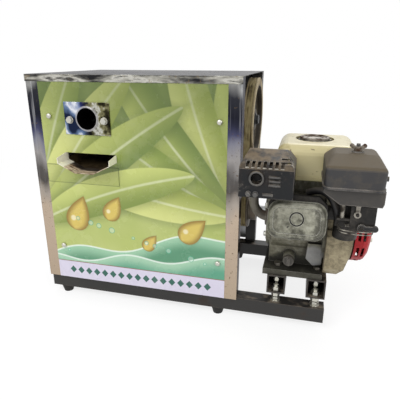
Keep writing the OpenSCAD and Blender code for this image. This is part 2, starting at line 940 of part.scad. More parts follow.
// silencer box with its outlet pipe
module muffler() {
  place() at_crank() color(dark)
    difference() {
      union() {
        slab_x(-84, -22, [[-205, box_z], [-205, 139], [-198, 146], [-146, 155], [-135, 149], [-135, box_z]]);
        ycyl(-214, -200, pipe_x, pipe_z, 12);
        for (x = [-40, -26])
          ycyl(-208.5, -200, x, box_z + 10, 4);
      }
      ycyl(-215, -202, pipe_x, pipe_z, 7.2);
    }
}

// side view and front view of the guard, shrunk by g
function guard_side(g) = [[-210 + g, 97 - 4 * g], [-210 + g, 143 - g * 0.5], [-203 + g * 0.6, 150 - g],
  [-146, 163 - g], [-124 + 6 * g, 157 - g * 1.2], [-124 + 6 * g, 97 - 4 * g]];
function guard_front(g) = [[-93 + g, 97 - 4 * g], [-8 - g, 97 - 4 * g], [-8 - g, 144 - g * 0.5],
  [-26 - g * 0.5, 165 - g], [-84 + g * 0.5, 165 - g], [-93 + g, 147 - g * 0.5]];

module guard_shell(g) {
  intersection() {
    slab_x(-93, -8, guard_side(g));
    slab_y(-210, -104, guard_front(g));
  }
}

// slotted sheet guard round the silencer
module muffler_guard() {
  place() at_crank() color(dark)
    difference() {
      union() {
        difference() {
          guard_shell(0);
          guard_shell(1.5);
        }
        for (k = [0 : 2])
          box(-46, -28, -212, -210 + eps, 130 - 6.5 * k, 134 - 6.5 * k);
        box(-55, -39, -212, -210 + eps, 101, 105);
        for (x = [-77, -66])
          hexy(-214, -210 + eps, x, 103, 4.5);
      }
      ycyl(-220, -200, pipe_x, pipe_z, 12 + hand_gap);
      for (k = [0 : 6])
        box(-83 + 9 * k, -78 + 9 * k, -207, -192, 139, 168);
      for (k = [0 : 2])
        box(-30, 0, -198 + 13 * k, -192 + 13 * k, 149, 156);
    }
}

// bent pipe from the head up to the silencer
module exhaust_elbow() {
  place() at_crank() color(iron) {
    translate([port_x + bend_r, port_y, port_z + bend_r])
      rotate([90, 0, 0])
        rotate([0, 0, 180])
          rotate_extrude(angle = 90)
            translate([bend_r, 0])
              circle(r = 8, $fn = 24);
    zcyl(port_z + bend_r - 0.5, box_z, port_x, port_y, 7.8);
    xcyl(-52, -48, [port_y, port_z], 12.5);
  }
}

// lower shell of the air cleaner
module air_base() {
  place() at_crank() color(dark)
    slab_y(air_front + 8, air_back - 8, [[air_left + 28, air_low], [air_right - 2, air_low],
      [air_right, air_low + 6], [air_right, air_z], [air_left + 2, air_z], [air_left + 2, air_z - 7]]);
}

// upper shell: a lip, rounded walls and a sloped and domed top
module air_cover() {
  mid = [(air_left + air_right) / 2, (air_front + air_back) / 2];
  wall = 1.5;
  edge_r = 7;
  dome_r = 12;
  place() at_crank() color(dark) {
    translate([mid[0], mid[1], air_z])
      rbox(air_right - air_left, air_back - air_front, 3, 14);
    hull() {
      translate([mid[0], mid[1], air_z + 2])
        rbox(air_right - air_left - 2 * wall, air_back - air_front - 2 * wall, 2, 13);
      for (x = [air_left + wall + edge_r, air_right - wall - edge_r],
           y = [air_front + wall + edge_r, air_back - wall - edge_r])
        translate([x, y, air_z + 36 - edge_r])
          sphere(r = edge_r, $fn = 20);
      for (x = [air_left + 20, air_right - 17], y = [-166, -122])
        translate([x, y, air_top - dome_r])
          sphere(r = dome_r, $fn = 20);
    }
    zcyl(air_top - 6, stud_top, nut_x, nut_y, 3);
    zcyl(air_top - 6, air_top + 2, nut_x, nut_y, 9);
    xcyl(air_right - 8, air_right + 9, [-160, air_z + 8], 4);
  }
}

// wing nut on the stud of the air cleaner
module wing_nut() {
  z = air_top + 2 + hand_gap;
  place() at_crank() color(steel)
    difference() {
      union() {
        zcyl(z, z + 7, nut_x, nut_y, 6);
        for (s = [-1, 1])
          hull() {
            zcyl(z + 2, z + 5, nut_x + s * 4, nut_y, 2);
            ycyl(nut_y - 1.8, nut_y + 1.8, nut_x + s * 9.5, z + 7.5, 3.2);
          }
      }
      zcyl(z - 1, z + 20, nut_x, nut_y, 3 + run_gap);
    }
}

// carburettor with bowl, intake pipe, posts and a control plate
module carburettor() {
  place() at_crank() color(iron) {
    xcyl(48, carb_x - 19, [-145, 60], 12);
    box(carb_x - 20, carb_x + 20, -160, -110, 43, 78);
    zcyl(15, 43 + eps, carb_x, -135, 20);
    zcyl(78 - eps, air_low, carb_x, -141, 18);
    box(carb_x - 19, carb_x + 39, -176, -160 + eps, 59, 63);
    zcyl(63 - eps, air_low, 70, -172, 3.5);
    box(100, 118, -166, -130, 63 - eps, air_low);
    box(82, 120, -178, -176 + eps, 44, 85);
    ycyl(-184, -177, choke_pos[0], choke_pos[2], 2.5);
    ycyl(-184, -177, tap_pos[0], tap_pos[2], 3);
    zcyl(78 - eps, 87, throttle_pos[0], throttle_pos[1], 3);
  }
}

// flat lever with a hole at its pivot, drawn in X-Y
module flat_lever(len, r, hole, t) {
  difference() {
    union() {
      cylinder(h = t, r = r);
      translate([0, -r * 0.6, 0])
        cube([len, r * 1.2, t]);
      translate([len, 0, 0])
        cylinder(h = t, r = r * 0.8);
    }
    translate([0, 0, -1])
      cylinder(h = t + 2, r = hole);
  }
}

module throttle_lever() {
  place() at_crank() color(steel)
    translate(throttle_pos + [0, 0, hand_gap])
      rotate([0, 0, 35])
        flat_lever(34, 7, 3 + run_gap, 2.5);
}

module choke_lever() {
  place() at_crank() color(steel)
    translate(choke_pos - [0, hand_gap, 0])
      rotate([90, -90, 0])
        flat_lever(16, 5.5, 2.5 + run_gap, 2.5);
}

module fuel_lever() {
  place() at_crank() color(dark)
    translate(tap_pos - [0, hand_gap, 0])
      rotate([90, 0, 0])
        flat_lever(20, 6.5, 3 + run_gap, 4);
}

// turning stop switch on the far side of the fan cover
module stop_switch() {
  place() at_engine() color(red)
    difference() {
      union() {
        ycyl(fan_r + hand_gap, fan_r + 7, fan_x + 16, crank_h, 11);
        box(fan_x + 7, fan_x + 25, fan_r + 7 - eps, fan_r + 13, crank_h - 3, crank_h + 3);
      }
      ycyl(fan_r - 10, fan_r + 3, fan_x + 16, crank_h, 3);
    }
}

// oil filler cap with a grip bar
module oil_cap() {
  place() at_engine() translate([oil_pos[0], 0, oil_pos[1]]) color(dark) {
    ycyl(-93, -84 - hand_gap, 0, 0, 10);
    ycyl(-84 - hand_gap - eps, -73, 0, 0, 7 - run_gap);
    box(-2, 2, -97, -93 + eps, -8, 8);
  }
}

// bolts that hold the engine foot to the bearers
module engine_bolts() {
  place() at_engine() color(steel)
    for (i = [0, 1], j = [0, 1])
      translate([bolt_left + i * bolt_x, bolt_front + j * bolt_y, 0]) {
        zcyl(-28, 12 + eps, 0, 0, 4);
        hexz(12, 18, 0, 0, 7.5);
        zcyl(-15, -3, 0, 0, 7);
        hexz(-22, -15, 0, 0, 7.5);
      }
}

module crankshaft() {
  c = [0, crank_h];
  place() at_engine() color(steel) {
    xcyl(belt_x - 14 - ex, -65, c, pto_r);
    xcyl(-65 - eps, fan_x + 6, c, crank_r);
    xcyl(fan_x + 6 - eps, fan_x + 44, c, crank_r - 2);
    turned_x(fan_x + 10, c, [[crank_r - 3, 0], [fan_r - 16, 0], [fan_r - 16, 22], [fan_r - 36, 26],
      [fan_r - 36, 10], [26, 10], [26, 26], [crank_r - 3, 26]]);
  }
}

// small pulley on the engine shaft
module engine_drive() {
  r = pinion_pulley_r;
  place() color(iron)
    turned_x(belt_x, crank_pos, [[pto_r, -12], [18, -12], [18, -10], [r, -10], [r, -groove_top],
      [r - groove_d, -groove_low], [r - groove_d, groove_low], [r, groove_top], [r, 10], [22, 10],
      [22, 26], [pto_r, 26]]);
}

base_rail_front();
base_rail_rear();
rubber_feet();
bearer_left();
bearer_right();
bearer_studs();
post_front_left();
post_front_right();
post_rear_left();
post_rear_right();
front_panel();
panel_screws();
left_panel();
back_panel();
top_cover();
inlet_plate();
inlet_bolts();
juice_chute();
juice_tray();
waste_chute();
plate_left();
plate_mid();
plate_gear();
plate_pulley();
shaft_bushes();
turn_plate();
roller_top();
gear_top();
roller_front();
gear_front();
bull_gear();
roller_rear();
gear_rear();
inter_shaft();
inter_gear();
jack_shaft();
drive_pulley();
v_belt();
crankcase();
cylinder_block();
head_cover();
fan_cover();
recoil_cover();
fuel_tank();
fuel_cap();
muffler();
muffler_guard();
exhaust_elbow();
air_base();
air_cover();
wing_nut();
carburettor();
throttle_lever();
choke_lever();
fuel_lever();
stop_switch();
oil_cap();
engine_bolts();
crankshaft();
engine_drive();
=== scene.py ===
"""Looks of a petrol-driven sugarcane juicer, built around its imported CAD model.

Lengths are metres in the frame of the CAD model: +X towards the engine, +Y towards the back,
+Z up.
"""

import json
import math

import bmesh
import bpy
from mathutils import Matrix, Vector

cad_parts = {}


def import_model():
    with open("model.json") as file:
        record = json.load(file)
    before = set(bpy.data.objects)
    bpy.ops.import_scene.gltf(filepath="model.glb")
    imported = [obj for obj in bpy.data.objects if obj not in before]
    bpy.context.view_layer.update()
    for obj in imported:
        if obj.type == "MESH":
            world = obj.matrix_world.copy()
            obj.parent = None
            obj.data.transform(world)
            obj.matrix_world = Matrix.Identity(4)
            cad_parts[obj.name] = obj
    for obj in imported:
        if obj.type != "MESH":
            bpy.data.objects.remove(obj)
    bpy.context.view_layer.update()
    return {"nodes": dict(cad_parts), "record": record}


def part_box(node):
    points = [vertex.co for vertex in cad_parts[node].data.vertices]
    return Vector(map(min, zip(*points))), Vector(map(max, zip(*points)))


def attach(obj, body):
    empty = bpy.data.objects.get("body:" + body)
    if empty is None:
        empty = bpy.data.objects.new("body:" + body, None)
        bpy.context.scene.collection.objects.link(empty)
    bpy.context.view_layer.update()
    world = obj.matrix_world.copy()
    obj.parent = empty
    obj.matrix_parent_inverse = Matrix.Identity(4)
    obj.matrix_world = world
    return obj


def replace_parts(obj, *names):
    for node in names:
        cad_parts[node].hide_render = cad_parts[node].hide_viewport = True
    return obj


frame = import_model()
NODES = frame["nodes"]
MM = 0.001

# Colours and shader building

COAT_ROUGHNESS = 0.12
CORNER_SAMPLES = 6
EDGE_LEAST, EDGE_FULL = 0.01, 0.18
MIX_LOW, MIX_HIGH, MIX_RESULT = 6, 7, 2  # colour sockets of a Mix node


def linear(channel):
    """Linear light of one sRGB channel."""
    return channel / 12.92 if channel <= 0.04045 else ((channel + 0.055) / 1.055) ** 2.4


def tone(code):
    """Linear colour of a six-digit sRGB code."""
    return tuple(linear(int(code[i:i + 2], 16) / 255) for i in (0, 2, 4)) + (1.0,)


class Field:
    """A number that varies over a surface and takes part in plain arithmetic."""

    def __init__(self, shader, socket):
        self.shader = shader
        self.socket = socket

    def op(self, kind, *others):
        """A math node that starts from this field."""
        return self.shader.math(kind, self, *others)

    def __add__(self, other):
        return self.op("ADD", other)

    def __sub__(self, other):
        return self.op("SUBTRACT", other)

    def __rsub__(self, other):
        return self.shader.math("SUBTRACT", other, self)

    def __mul__(self, other):
        return self.op("MULTIPLY", other)

    def __truediv__(self, other):
        return self.op("DIVIDE", other)

    def __abs__(self):
        return self.op("ABSOLUTE")

    __radd__ = __add__

    def between(self, low, high):
        """0 below low, 1 above high, smooth in between."""
        made = self.shader.node("ShaderNodeMapRange", Value=self,
                                **{"From Min": low, "From Max": high})
        made.interpolation_type = "SMOOTHSTEP"
        return Field(self.shader, made.outputs["Result"])


class Shader:
    """One node material around a Principled surface."""

    def __init__(self, name, metallic=0.0, coat=0.0, bevel=0.8 * MM):
        self.material = bpy.data.materials.new(name)
        self.material.use_nodes = True
        self.tree = self.material.node_tree
        self.surface = self.tree.nodes["Principled BSDF"]
        self.surface.inputs["Metallic"].default_value = metallic
        self.surface.inputs["Coat Weight"].default_value = coat
        self.surface.inputs["Coat Roughness"].default_value = COAT_ROUGHNESS
        self.place = self.node("ShaderNodeTexCoord").outputs["Object"]
        self.geometry = self.node("ShaderNodeNewGeometry")
        self.rounded = self.node("ShaderNodeBevel", Radius=bevel).outputs["Normal"]
        self.link(self.rounded, self.surface.inputs["Normal"])

    def node(self, kind, **values):
        """Adds a node and feeds its named inputs."""
        made = self.tree.nodes.new(kind)
        for name, value in values.items():
            self.link(value, made.inputs[name])
        return made

    def link(self, source, socket):
        """Joins a field or a socket to an input, or sets a plain value there."""
        source = source.socket if isinstance(source, Field) else source
        if isinstance(source, bpy.types.NodeSocket):
            self.tree.links.new(source, socket)
        else:
            socket.default_value = source

    def math(self, kind, *values):
        """A math node fed by fields or plain values."""
        made = self.tree.nodes.new("ShaderNodeMath")
        made.operation = kind
        for value, socket in zip(values, made.inputs):
            self.link(value, socket)
        return Field(self, made.outputs[0])

    def axes(self):
        """The place on the object as three fields."""
        made = self.node("ShaderNodeSeparateXYZ", Vector=self.place)
        return [Field(self, made.outputs[i]) for i in range(3)]

    def stretched(self, stretch):
        """The place, scaled along each axis."""
        made = self.node("ShaderNodeMapping", Vector=self.place)
        made.inputs["Scale"].default_value = stretch
        return made.outputs["Vector"]

    def noise(self, scale, detail=4.0, stretch=None, roughness=0.55):
        """Cloudy noise, mostly near 0.5."""
        place = self.stretched(stretch) if stretch else self.place
        made = self.node("ShaderNodeTexNoise", Vector=place, Scale=scale, Detail=detail,
                         Roughness=roughness)
        return Field(self, made.outputs[0])

    def upward(self):
        """How far the surface faces up."""
        made = self.node("ShaderNodeSeparateXYZ", Vector=self.geometry.outputs["Normal"])
        return Field(self, made.outputs["Z"])

    def edges(self, radius):
        """1 along sharp edges, 0 on plain faces."""
        wide = self.node("ShaderNodeBevel", Radius=radius).outputs["Normal"]
        dot = self.tree.nodes.new("ShaderNodeVectorMath")
        dot.operation = "DOT_PRODUCT"
        self.link(wide, dot.inputs[0])
        self.link(self.geometry.outputs["Normal"], dot.inputs[1])
        return (1.0 - Field(self, dot.outputs["Value"])).between(EDGE_LEAST, EDGE_FULL)

    def crevices(self, reach):
        """1 deep in corners, 0 on open faces."""
        made = self.node("ShaderNodeAmbientOcclusion", Distance=reach)
        made.samples = CORNER_SAMPLES
        return 1.0 - Field(self, made.outputs["AO"])

    def mix(self, share, low, high):
        """A colour between two, by a share. A plain colour is given by its code."""
        made = self.tree.nodes.new("ShaderNodeMix")
        made.data_type = "RGBA"
        self.link(share, made.inputs[0])
        for colour, socket in ((low, MIX_LOW), (high, MIX_HIGH)):
            self.link(tone(colour) if isinstance(colour, str) else colour, made.inputs[socket])
        return made.outputs[MIX_RESULT]

    def ramp(self, field, *stops):
        """A colour that runs through (value, code) stops as a field grows."""
        made = self.node("ShaderNodeValToRGB", Fac=field)
        elements = made.color_ramp.elements
        while len(elements) < len(stops):
            elements.new(1.0)
        for element, (value, code) in zip(elements, stops):
            element.position = value
            element.color = tone(code)
        return made.outputs["Color"]

    def mirror_edge(self, code):
        """Tints a metal's mirror image at grazing angles."""
        self.surface.inputs["Specular Tint"].default_value = tone(code)

    def finish(self, colour, roughness, relief=None, depth=0.2 * MM, strength=0.5):
        """Sets colour, roughness and relief, and gives the material."""
        self.link(colour, self.surface.inputs["Base Color"])
        self.link(roughness, self.surface.inputs["Roughness"])
        if relief is not None:
            bump = self.node("ShaderNodeBump", Strength=strength, Distance=depth, Height=relief,
                             Normal=self.rounded)
            self.link(bump.outputs["Normal"], self.surface.inputs["Normal"])
        return self.material


def spread(u, w, centre):
    """Distance of two fields from a centre."""
    du, dw = u - centre[0], w - centre[1]
    return (du * du + dw * dw).op("SQRT")


# Materials of the cabinet

CANE_HOLE, HOLE_RING_OFF, HOLE_RING_HALF = 20.5 * MM, 2.0 * MM, 2.2 * MM


def specked(s, colour, smudge, code):
    """Scatters small rust and dust specks."""
    specks = (s.noise(190.0, detail=2.0) + smudge * 0.25).between(0.76, 0.84)
    return s.mix(specks * 0.6, colour, code), specks


def post_steel():
    """Polished tube with a painted reflection of a dark room above and a warm floor below, and
    pale painted streaks up high.
    """
    s = Shader("post_steel", metallic=1.0, bevel=1.6 * MM)
    s.mirror_edge("8a8a8e")
    _, _, height = s.axes()
    sway = s.noise(6.0, detail=2.0, stretch=(5.0, 5.0, 1.6))
    smudge = s.noise(22.0, detail=5.0)
    # Painted reflection: the colour runs by height from a warm floor below to a dark room above.
    colour = s.ramp((height + (sway - 0.5) * 0.1) * 2.0, (0.10, "b3a18d"), (0.42, "bcaa97"),
                    (0.50, "a59c92"), (0.56, "55514e"), (0.60, "5d5a58"), (0.65, "9d9997"),
                    (0.71, "83838f"), (0.76, "4b4c68"), (0.82, "25262f"), (0.89, "33343a"),
                    (0.94, "9a9a98"), (1.0, "5a5a5c"))
    # Pale streaks up high: painted reflection.
    streaks = s.noise(30.0, detail=3.0, stretch=(5.0, 5.0, 0.15)).between(0.58, 0.7)
    colour = s.mix(streaks * height.between(0.2, 0.4) * 0.4, colour, "d9dade")
    colour, specks = specked(s, colour, smudge, "6a5844")
    return s.finish(colour, 0.16 + smudge.between(0.45, 0.75) * 0.16 + specks * 0.3, sway,
                    depth=3 * MM, strength=0.08)


def lid_steel():
    """Folded sheet with a painted reflection: soft streaks on a top that pales across, and a lip
    with dark flecks.
    """
    s = Shader("lid_steel", metallic=1.0)
    s.mirror_edge("828284")
    across, _, _ = s.axes()
    streaks = s.noise(6.0, detail=3.0, stretch=(0.4, 4.0, 1.0))
    flecks = s.noise(15.0, detail=5.0, stretch=(1.0, 1.0, 4.0))
    smudge = s.noise(30.0, detail=5.0)
    # Painted reflections: a pale streaked ramp for faces that look up, a dark flecked one for the
    # lip.
    top = s.ramp(streaks + across * 0.25, (0.34, "929294"), (0.46, "aaaaac"), (0.54, "c2c2c3"),
                 (0.66, "9d9b97"))
    lip = s.ramp(flecks, (0.38, "2a2a2c"), (0.46, "6b6a65"), (0.53, "a8a69c"), (0.58, "cccac1"),
                 (0.64, "4c4b48"))
    colour = s.mix(s.upward().between(0.3, 0.9), lip, top)
    colour, specks = specked(s, colour, smudge, "7a6a52")
    return s.finish(colour, 0.2 + smudge * 0.16 + specks * 0.3, streaks,
                    depth=2 * MM, strength=0.08)


def plate_steel():
    """Mirror plate with a painted reflection in blue, white and olive patches, a pale ring round
    its hole, and painted shade inside the hole.
    """
    s = Shader("plate_steel", metallic=1.0)
    x, _, z = s.axes()
    low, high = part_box("inlet_plate")
    across = (x - low.x) / (high.x - low.x)
    swirl = s.noise(17.0, detail=1.5, stretch=(1.3, 1.0, 1.0))
    fine = s.noise(85.0, detail=3.0)
    # Painted reflection: blue and white patches to the left, olive and dark ones to the right.
    cool = s.ramp(swirl + (fine - 0.5) * 0.1, (0.36, "14172a"), (0.43, "2f3563"),
                  (0.47, "7c8cb2"), (0.52, "e8ebf1"), (0.57, "6a80a3"), (0.64, "1e2740"))
    warm = s.ramp(swirl * 0.7 + fine * 0.3, (0.38, "11100d"), (0.44, "3a3726"),
                  (0.48, "84805d"), (0.52, "c6c6bd"), (0.56, "565339"), (0.62, "161514"))
    colour = s.mix((across + (fine - 0.5) * 0.3).between(0.4, 0.62), cool, warm)
    away = spread(x, z, ((low.x + high.x) / 2, (low.z + high.z) / 2))
    ring = (HOLE_RING_HALF - abs(away - CANE_HOLE - HOLE_RING_OFF)).between(0.0, 1.0 * MM)
    colour = s.mix(ring * 0.8, colour, "b4b2b3")
    # Painted shade: near black inside the hole.
    bore_shade = (CANE_HOLE + 0.4 * MM - away).between(0.0, 0.4 * MM)
    colour = s.mix(bore_shade, colour, "0d0c0c")
    return s.finish(colour, 0.14 + fine * 0.14 + bore_shade * 0.6, swirl, depth=2 * MM, strength=0.08)


def stained_steel():
    """Sheet that juice has stained gold and brown, in tones kept dark as painted shade inside the
    cabinet.
    """
    s = Shader("stained_steel", metallic=0.45)
    stain = s.noise(34.0, detail=5.0).between(0.4, 0.7)
    # Dark brown tones: juice stain and painted shade.
    colour = s.mix(stain, "5e5038", "33271a")
    return s.finish(colour, 0.32 + stain * 0.25, stain, depth=0.2 * MM, strength=0.3)


def chute_steel():
    """Gutter with brown juice crust, with painted shade dark inside and a painted highlight on its
    two folded wings.
    """
    s = Shader("chute_steel", metallic=0.1)
    x, y, _ = s.axes()
    low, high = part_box("juice_chute")
    crust = s.noise(60.0, detail=5.0, stretch=(0.6, 1.6, 1.0))
    colour = s.ramp(crust, (0.36, "4a3626"), (0.44, "b0967a"), (0.52, "e6d4ba"), (0.62, "7d664d"))
    # Painted shade: near black deeper inside and towards the right.
    inside = ((y - low.y) / (high.y - low.y) + (x - low.x) * 3.0).between(0.5, 0.85)
    colour = s.mix(inside * 0.95, colour, "15100d")
    # Painted highlight: near white on the two folded wings.
    wing_highlight = (low.x + 15 * MM - x).between(0.0, 4 * MM) + (x - high.x + 7 * MM).between(0.0, 3 * MM)
    colour = s.mix(wing_highlight * (0.8 + crust * 0.4), colour, "fffbe6")
    return s.finish(colour, 0.4 + crust * 0.25, crust, depth=0.3 * MM, strength=0.4)


def sheet_steel():
    """Brushed sheet with a fine grain along X and Y."""
    s = Shader("sheet_steel", metallic=1.0)
    grain = s.noise(90.0, detail=3.0, stretch=(1.0, 1.0, 14.0))
    stain = s.noise(9.0)
    colour = s.mix(grain * 0.5 + stain * 0.5, "8d8f90", "c9cacb")
    colour = s.mix(stain.between(0.58, 0.78) * 0.45, colour, "7b6d58")
    return s.finish(colour, 0.28 + grain * 0.16, grain, depth=0.05 * MM, strength=0.4)


def black_paint():
    """Brush-painted bar, chipped at the edges, with pale dust and spatter on top."""
    s = Shader("black_paint", coat=0.1)
    chips = (s.edges(2.2 * MM) + s.noise(70.0) * 0.9).between(0.95, 1.2)
    rust = s.noise(26.0, detail=6.0).between(0.56, 0.72)
    colour = s.mix(s.noise(14.0), "100f0e", "262320")
    colour = s.mix(rust * 0.5, colour, "3d3026")
    dust = s.upward().between(0.5, 1.0) * s.noise(48.0, detail=6.0).between(0.45, 0.68)
    colour = s.mix(dust * 0.7, colour, "8d8171")
    colour = s.mix(chips * 0.55, colour, "776b5e")
    return s.finish(colour, 0.5 + rust * 0.3 + dust * 0.15, s.noise(120.0) + rust * 0.6,
                    depth=0.4 * MM, strength=0.35)


def foot_rubber():
    """Dusty matt rubber, paler on its upper faces."""
    s = Shader("foot_rubber")
    dust = s.noise(45.0, detail=5.0).between(0.45, 0.75) * 0.5 + s.upward().between(0.2, 1.0) * 0.3
    colour = s.mix(dust, "121110", "3b3733")
    return s.finish(colour, 0.75 + dust * 0.15, s.noise(400.0, detail=2.0),
                    depth=0.1 * MM, strength=0.3)


def belt_rubber():
    """Belt caked with tan dust in lines along its run."""
    s = Shader("belt_rubber")
    lines = s.noise(520.0, detail=2.0, stretch=(1.0, 0.03, 0.03))
    dust = s.noise(40.0, detail=6.0)
    colour = s.ramp(lines * 0.5 + dust * 0.5, (0.36, "3a3020"), (0.45, "7d6e49"),
                    (0.54, "b5a67a"), (0.66, "8a6f4c"))
    return s.finish(colour, 0.75 + dust * 0.15, lines + s.noise(400.0, detail=2.0) * 0.5,
                    depth=0.2 * MM, strength=0.4)


def zinc(name, grimy_above=1.0):
    """Plated fasteners with a dull yellowing, oily above a height in metres, and painted shade in
    the corners round them.
    """
    s = Shader(name, metallic=1.0)
    _, _, height = s.axes()
    stain = s.noise(60.0, detail=4.0)
    # Painted shade in corners, and oil above a height.
    grime_and_shade = s.crevices(4 * MM).between(0.25, 0.8) + (height - grimy_above).between(0.0, 3 * MM)
    colour = s.mix(stain, "b9bab6", "d8d4c4")
    colour = s.mix(grime_and_shade * 0.7, colour, "4a4036")
    return s.finish(colour, 0.26 + stain * 0.22 + grime_and_shade * 0.2, s.noise(260.0),
                    depth=0.08 * MM, strength=0.3)


def worn_steel():
    """Small steel trim, dull and sooty."""
    s = Shader("worn_steel", metallic=0.9)
    soot = s.noise(80.0, detail=5.0).between(0.4, 0.68)
    colour = s.mix(soot, "a19c92", "423c36")
    return s.finish(colour, 0.4 + soot * 0.25, s.noise(240.0), depth=0.1 * MM, strength=0.3)


def rusty_steel():
    """Plated piece gone brown."""
    s = Shader("rusty_steel", metallic=0.6)
    rust = s.noise(70.0, detail=6.0).between(0.38, 0.62)
    colour = s.mix(rust, "8c857a", "4a3526")
    return s.finish(colour, 0.42 + rust * 0.35, s.noise(150.0) + rust * 0.5,
                    depth=0.2 * MM, strength=0.4)


def plate_iron():
    """Grey painted bearing plate with scuffs."""
    s = Shader("plate_iron")
    scuff = s.noise(35.0, detail=6.0).between(0.55, 0.75)
    colour = s.mix(s.noise(11.0), "1f2021", "363738")
    colour = s.mix(scuff * 0.5, colour, "6e685e")
    return s.finish(colour, 0.5 + scuff * 0.2, s.noise(150.0), depth=0.2 * MM, strength=0.3)


def pulley_iron():
    """Cast pulley with a tan, dusty rim worn in rings, and painted shade darkening its dish."""
    s = Shader("pulley_iron", metallic=0.2)
    _, y, z = s.axes()
    low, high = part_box("drive_pulley")
    away = spread(y, z, ((low.y + high.y) / 2, (low.z + high.z) / 2))
    dish = ((high.z - low.z) / 2 - 12 * MM - away).between(0.0, 5 * MM)
    rings = s.noise(420.0, detail=2.0, stretch=(1.0, 0.04, 0.04))
    dust = s.noise(26.0, detail=5.0)
    colour = s.ramp(rings * 0.45 + dust * 0.55, (0.36, "4d3d28"), (0.46, "8b7850"),
                    (0.55, "b8a983"), (0.66, "75603f"))
    # Painted shade: the recessed dish goes near black.
    colour = s.mix(dish * 0.92, colour, "1b1613")
    bare = (s.edges(2.5 * MM) + s.noise(60.0) * 0.5).between(0.5, 0.9)
    colour = s.mix(bare * 0.4, colour, "c8b9a4")
    return s.finish(colour, 0.5 + dust * 0.25, s.noise(130.0) + rings * 0.6,
                    depth=0.3 * MM, strength=0.4)


def gear_iron():
    """Cast iron with oil and dust, bare along its edges."""
    s = Shader("gear_iron", metallic=0.75)
    dirt = s.noise(38.0, detail=6.0).between(0.4, 0.72)
    bare = s.edges(2.5 * MM)
    colour = s.mix(s.noise(12.0), "5a554e", "85796a")
    colour = s.mix(dirt * 0.7, colour, "3b3029")
    colour = s.mix(bare * 0.6, colour, "b7b0a4")
    return s.finish(colour, 0.42 + dirt * 0.3, s.noise(130.0) + dirt * 0.4,
                    depth=0.3 * MM, strength=0.4)


def turned_steel():
    """Turned shafts and rollers with fine rings round the axis."""
    s = Shader("turned_steel", metallic=1.0)
    rings = s.noise(420.0, detail=2.0, stretch=(1.0, 0.02, 0.02))
    stain = s.noise(20.0, detail=5.0)
    colour = s.mix(rings * 0.4 + stain * 0.6, "8b8d8e", "c8c9c8")
    colour = s.mix(stain.between(0.55, 0.75) * 0.4, colour, "7d7a52")
    return s.finish(colour, 0.22 + rings * 0.2, rings, depth=0.05 * MM, strength=0.4)


def bronze():
    """Bearing bronze, browned by oil."""
    s = Shader("bronze", metallic=1.0)
    oil = s.noise(60.0, detail=5.0)
    colour = s.mix(oil, "8a6234", "c79a5c")
    return s.finish(colour, 0.3 + oil * 0.25, s.noise(200.0), depth=0.06 * MM, strength=0.3)


# Materials of the engine

BOSS, WIPED_REACH = Vector((232, -79.5, 148)) * MM, 26 * MM
COVER_LEAN = math.radians(65)
COVER_RING_SPOT, COVER_RING_RADIUS, COVER_RING_HALF = (0.0, 3 * MM), 10.5 * MM, 1.3 * MM


def alloy(name, metallic, oily, *stops):
    """Cast alloy with sand texture, oily below a height, with oil and painted shade in its
    corners, wiped on its boss.
    """
    s = Shader(name, metallic=metallic, bevel=1.4 * MM)
    across, depth, height = s.axes()
    blotch = s.noise(18.0, detail=5.0)
    fine = s.noise(150.0, detail=5.0, roughness=0.65)
    low = (oily - height + blotch * 50 * MM).between(0.0, 45 * MM)
    # Oil blotches, oil below a height and painted shade in corners, in one dark mask.
    grime_and_shade = (s.crevices(22 * MM) * 0.9 + blotch * 0.6 + low * 0.55).between(0.55, 0.98)
    colour = s.ramp(blotch * 0.6 + fine * 0.4, *stops)
    colour = s.mix(grime_and_shade * 0.92, colour, "16140f")
    wiped = (WIPED_REACH - spread(across, height, (BOSS.x, BOSS.z))).between(0.0, 10 * MM)
    wiped = wiped * (BOSS.y + 4 * MM - depth).between(0.0, 3 * MM)
    colour = s.mix(wiped * (0.45 + blotch * 0.6), colour, "9a9a9b")
    # Painted shade: near black in tight corners.
    colour = s.mix(s.crevices(3 * MM).between(0.3, 0.6) * 0.9, colour, "12100e")
    colour = s.mix(s.edges(1.6 * MM) * 0.4, colour, stops[-1][1])
    return s.finish(colour, 0.5 + grime_and_shade * 0.2, s.noise(330.0, detail=3.0) + fine * 0.6,
                    depth=0.3 * MM, strength=0.45)


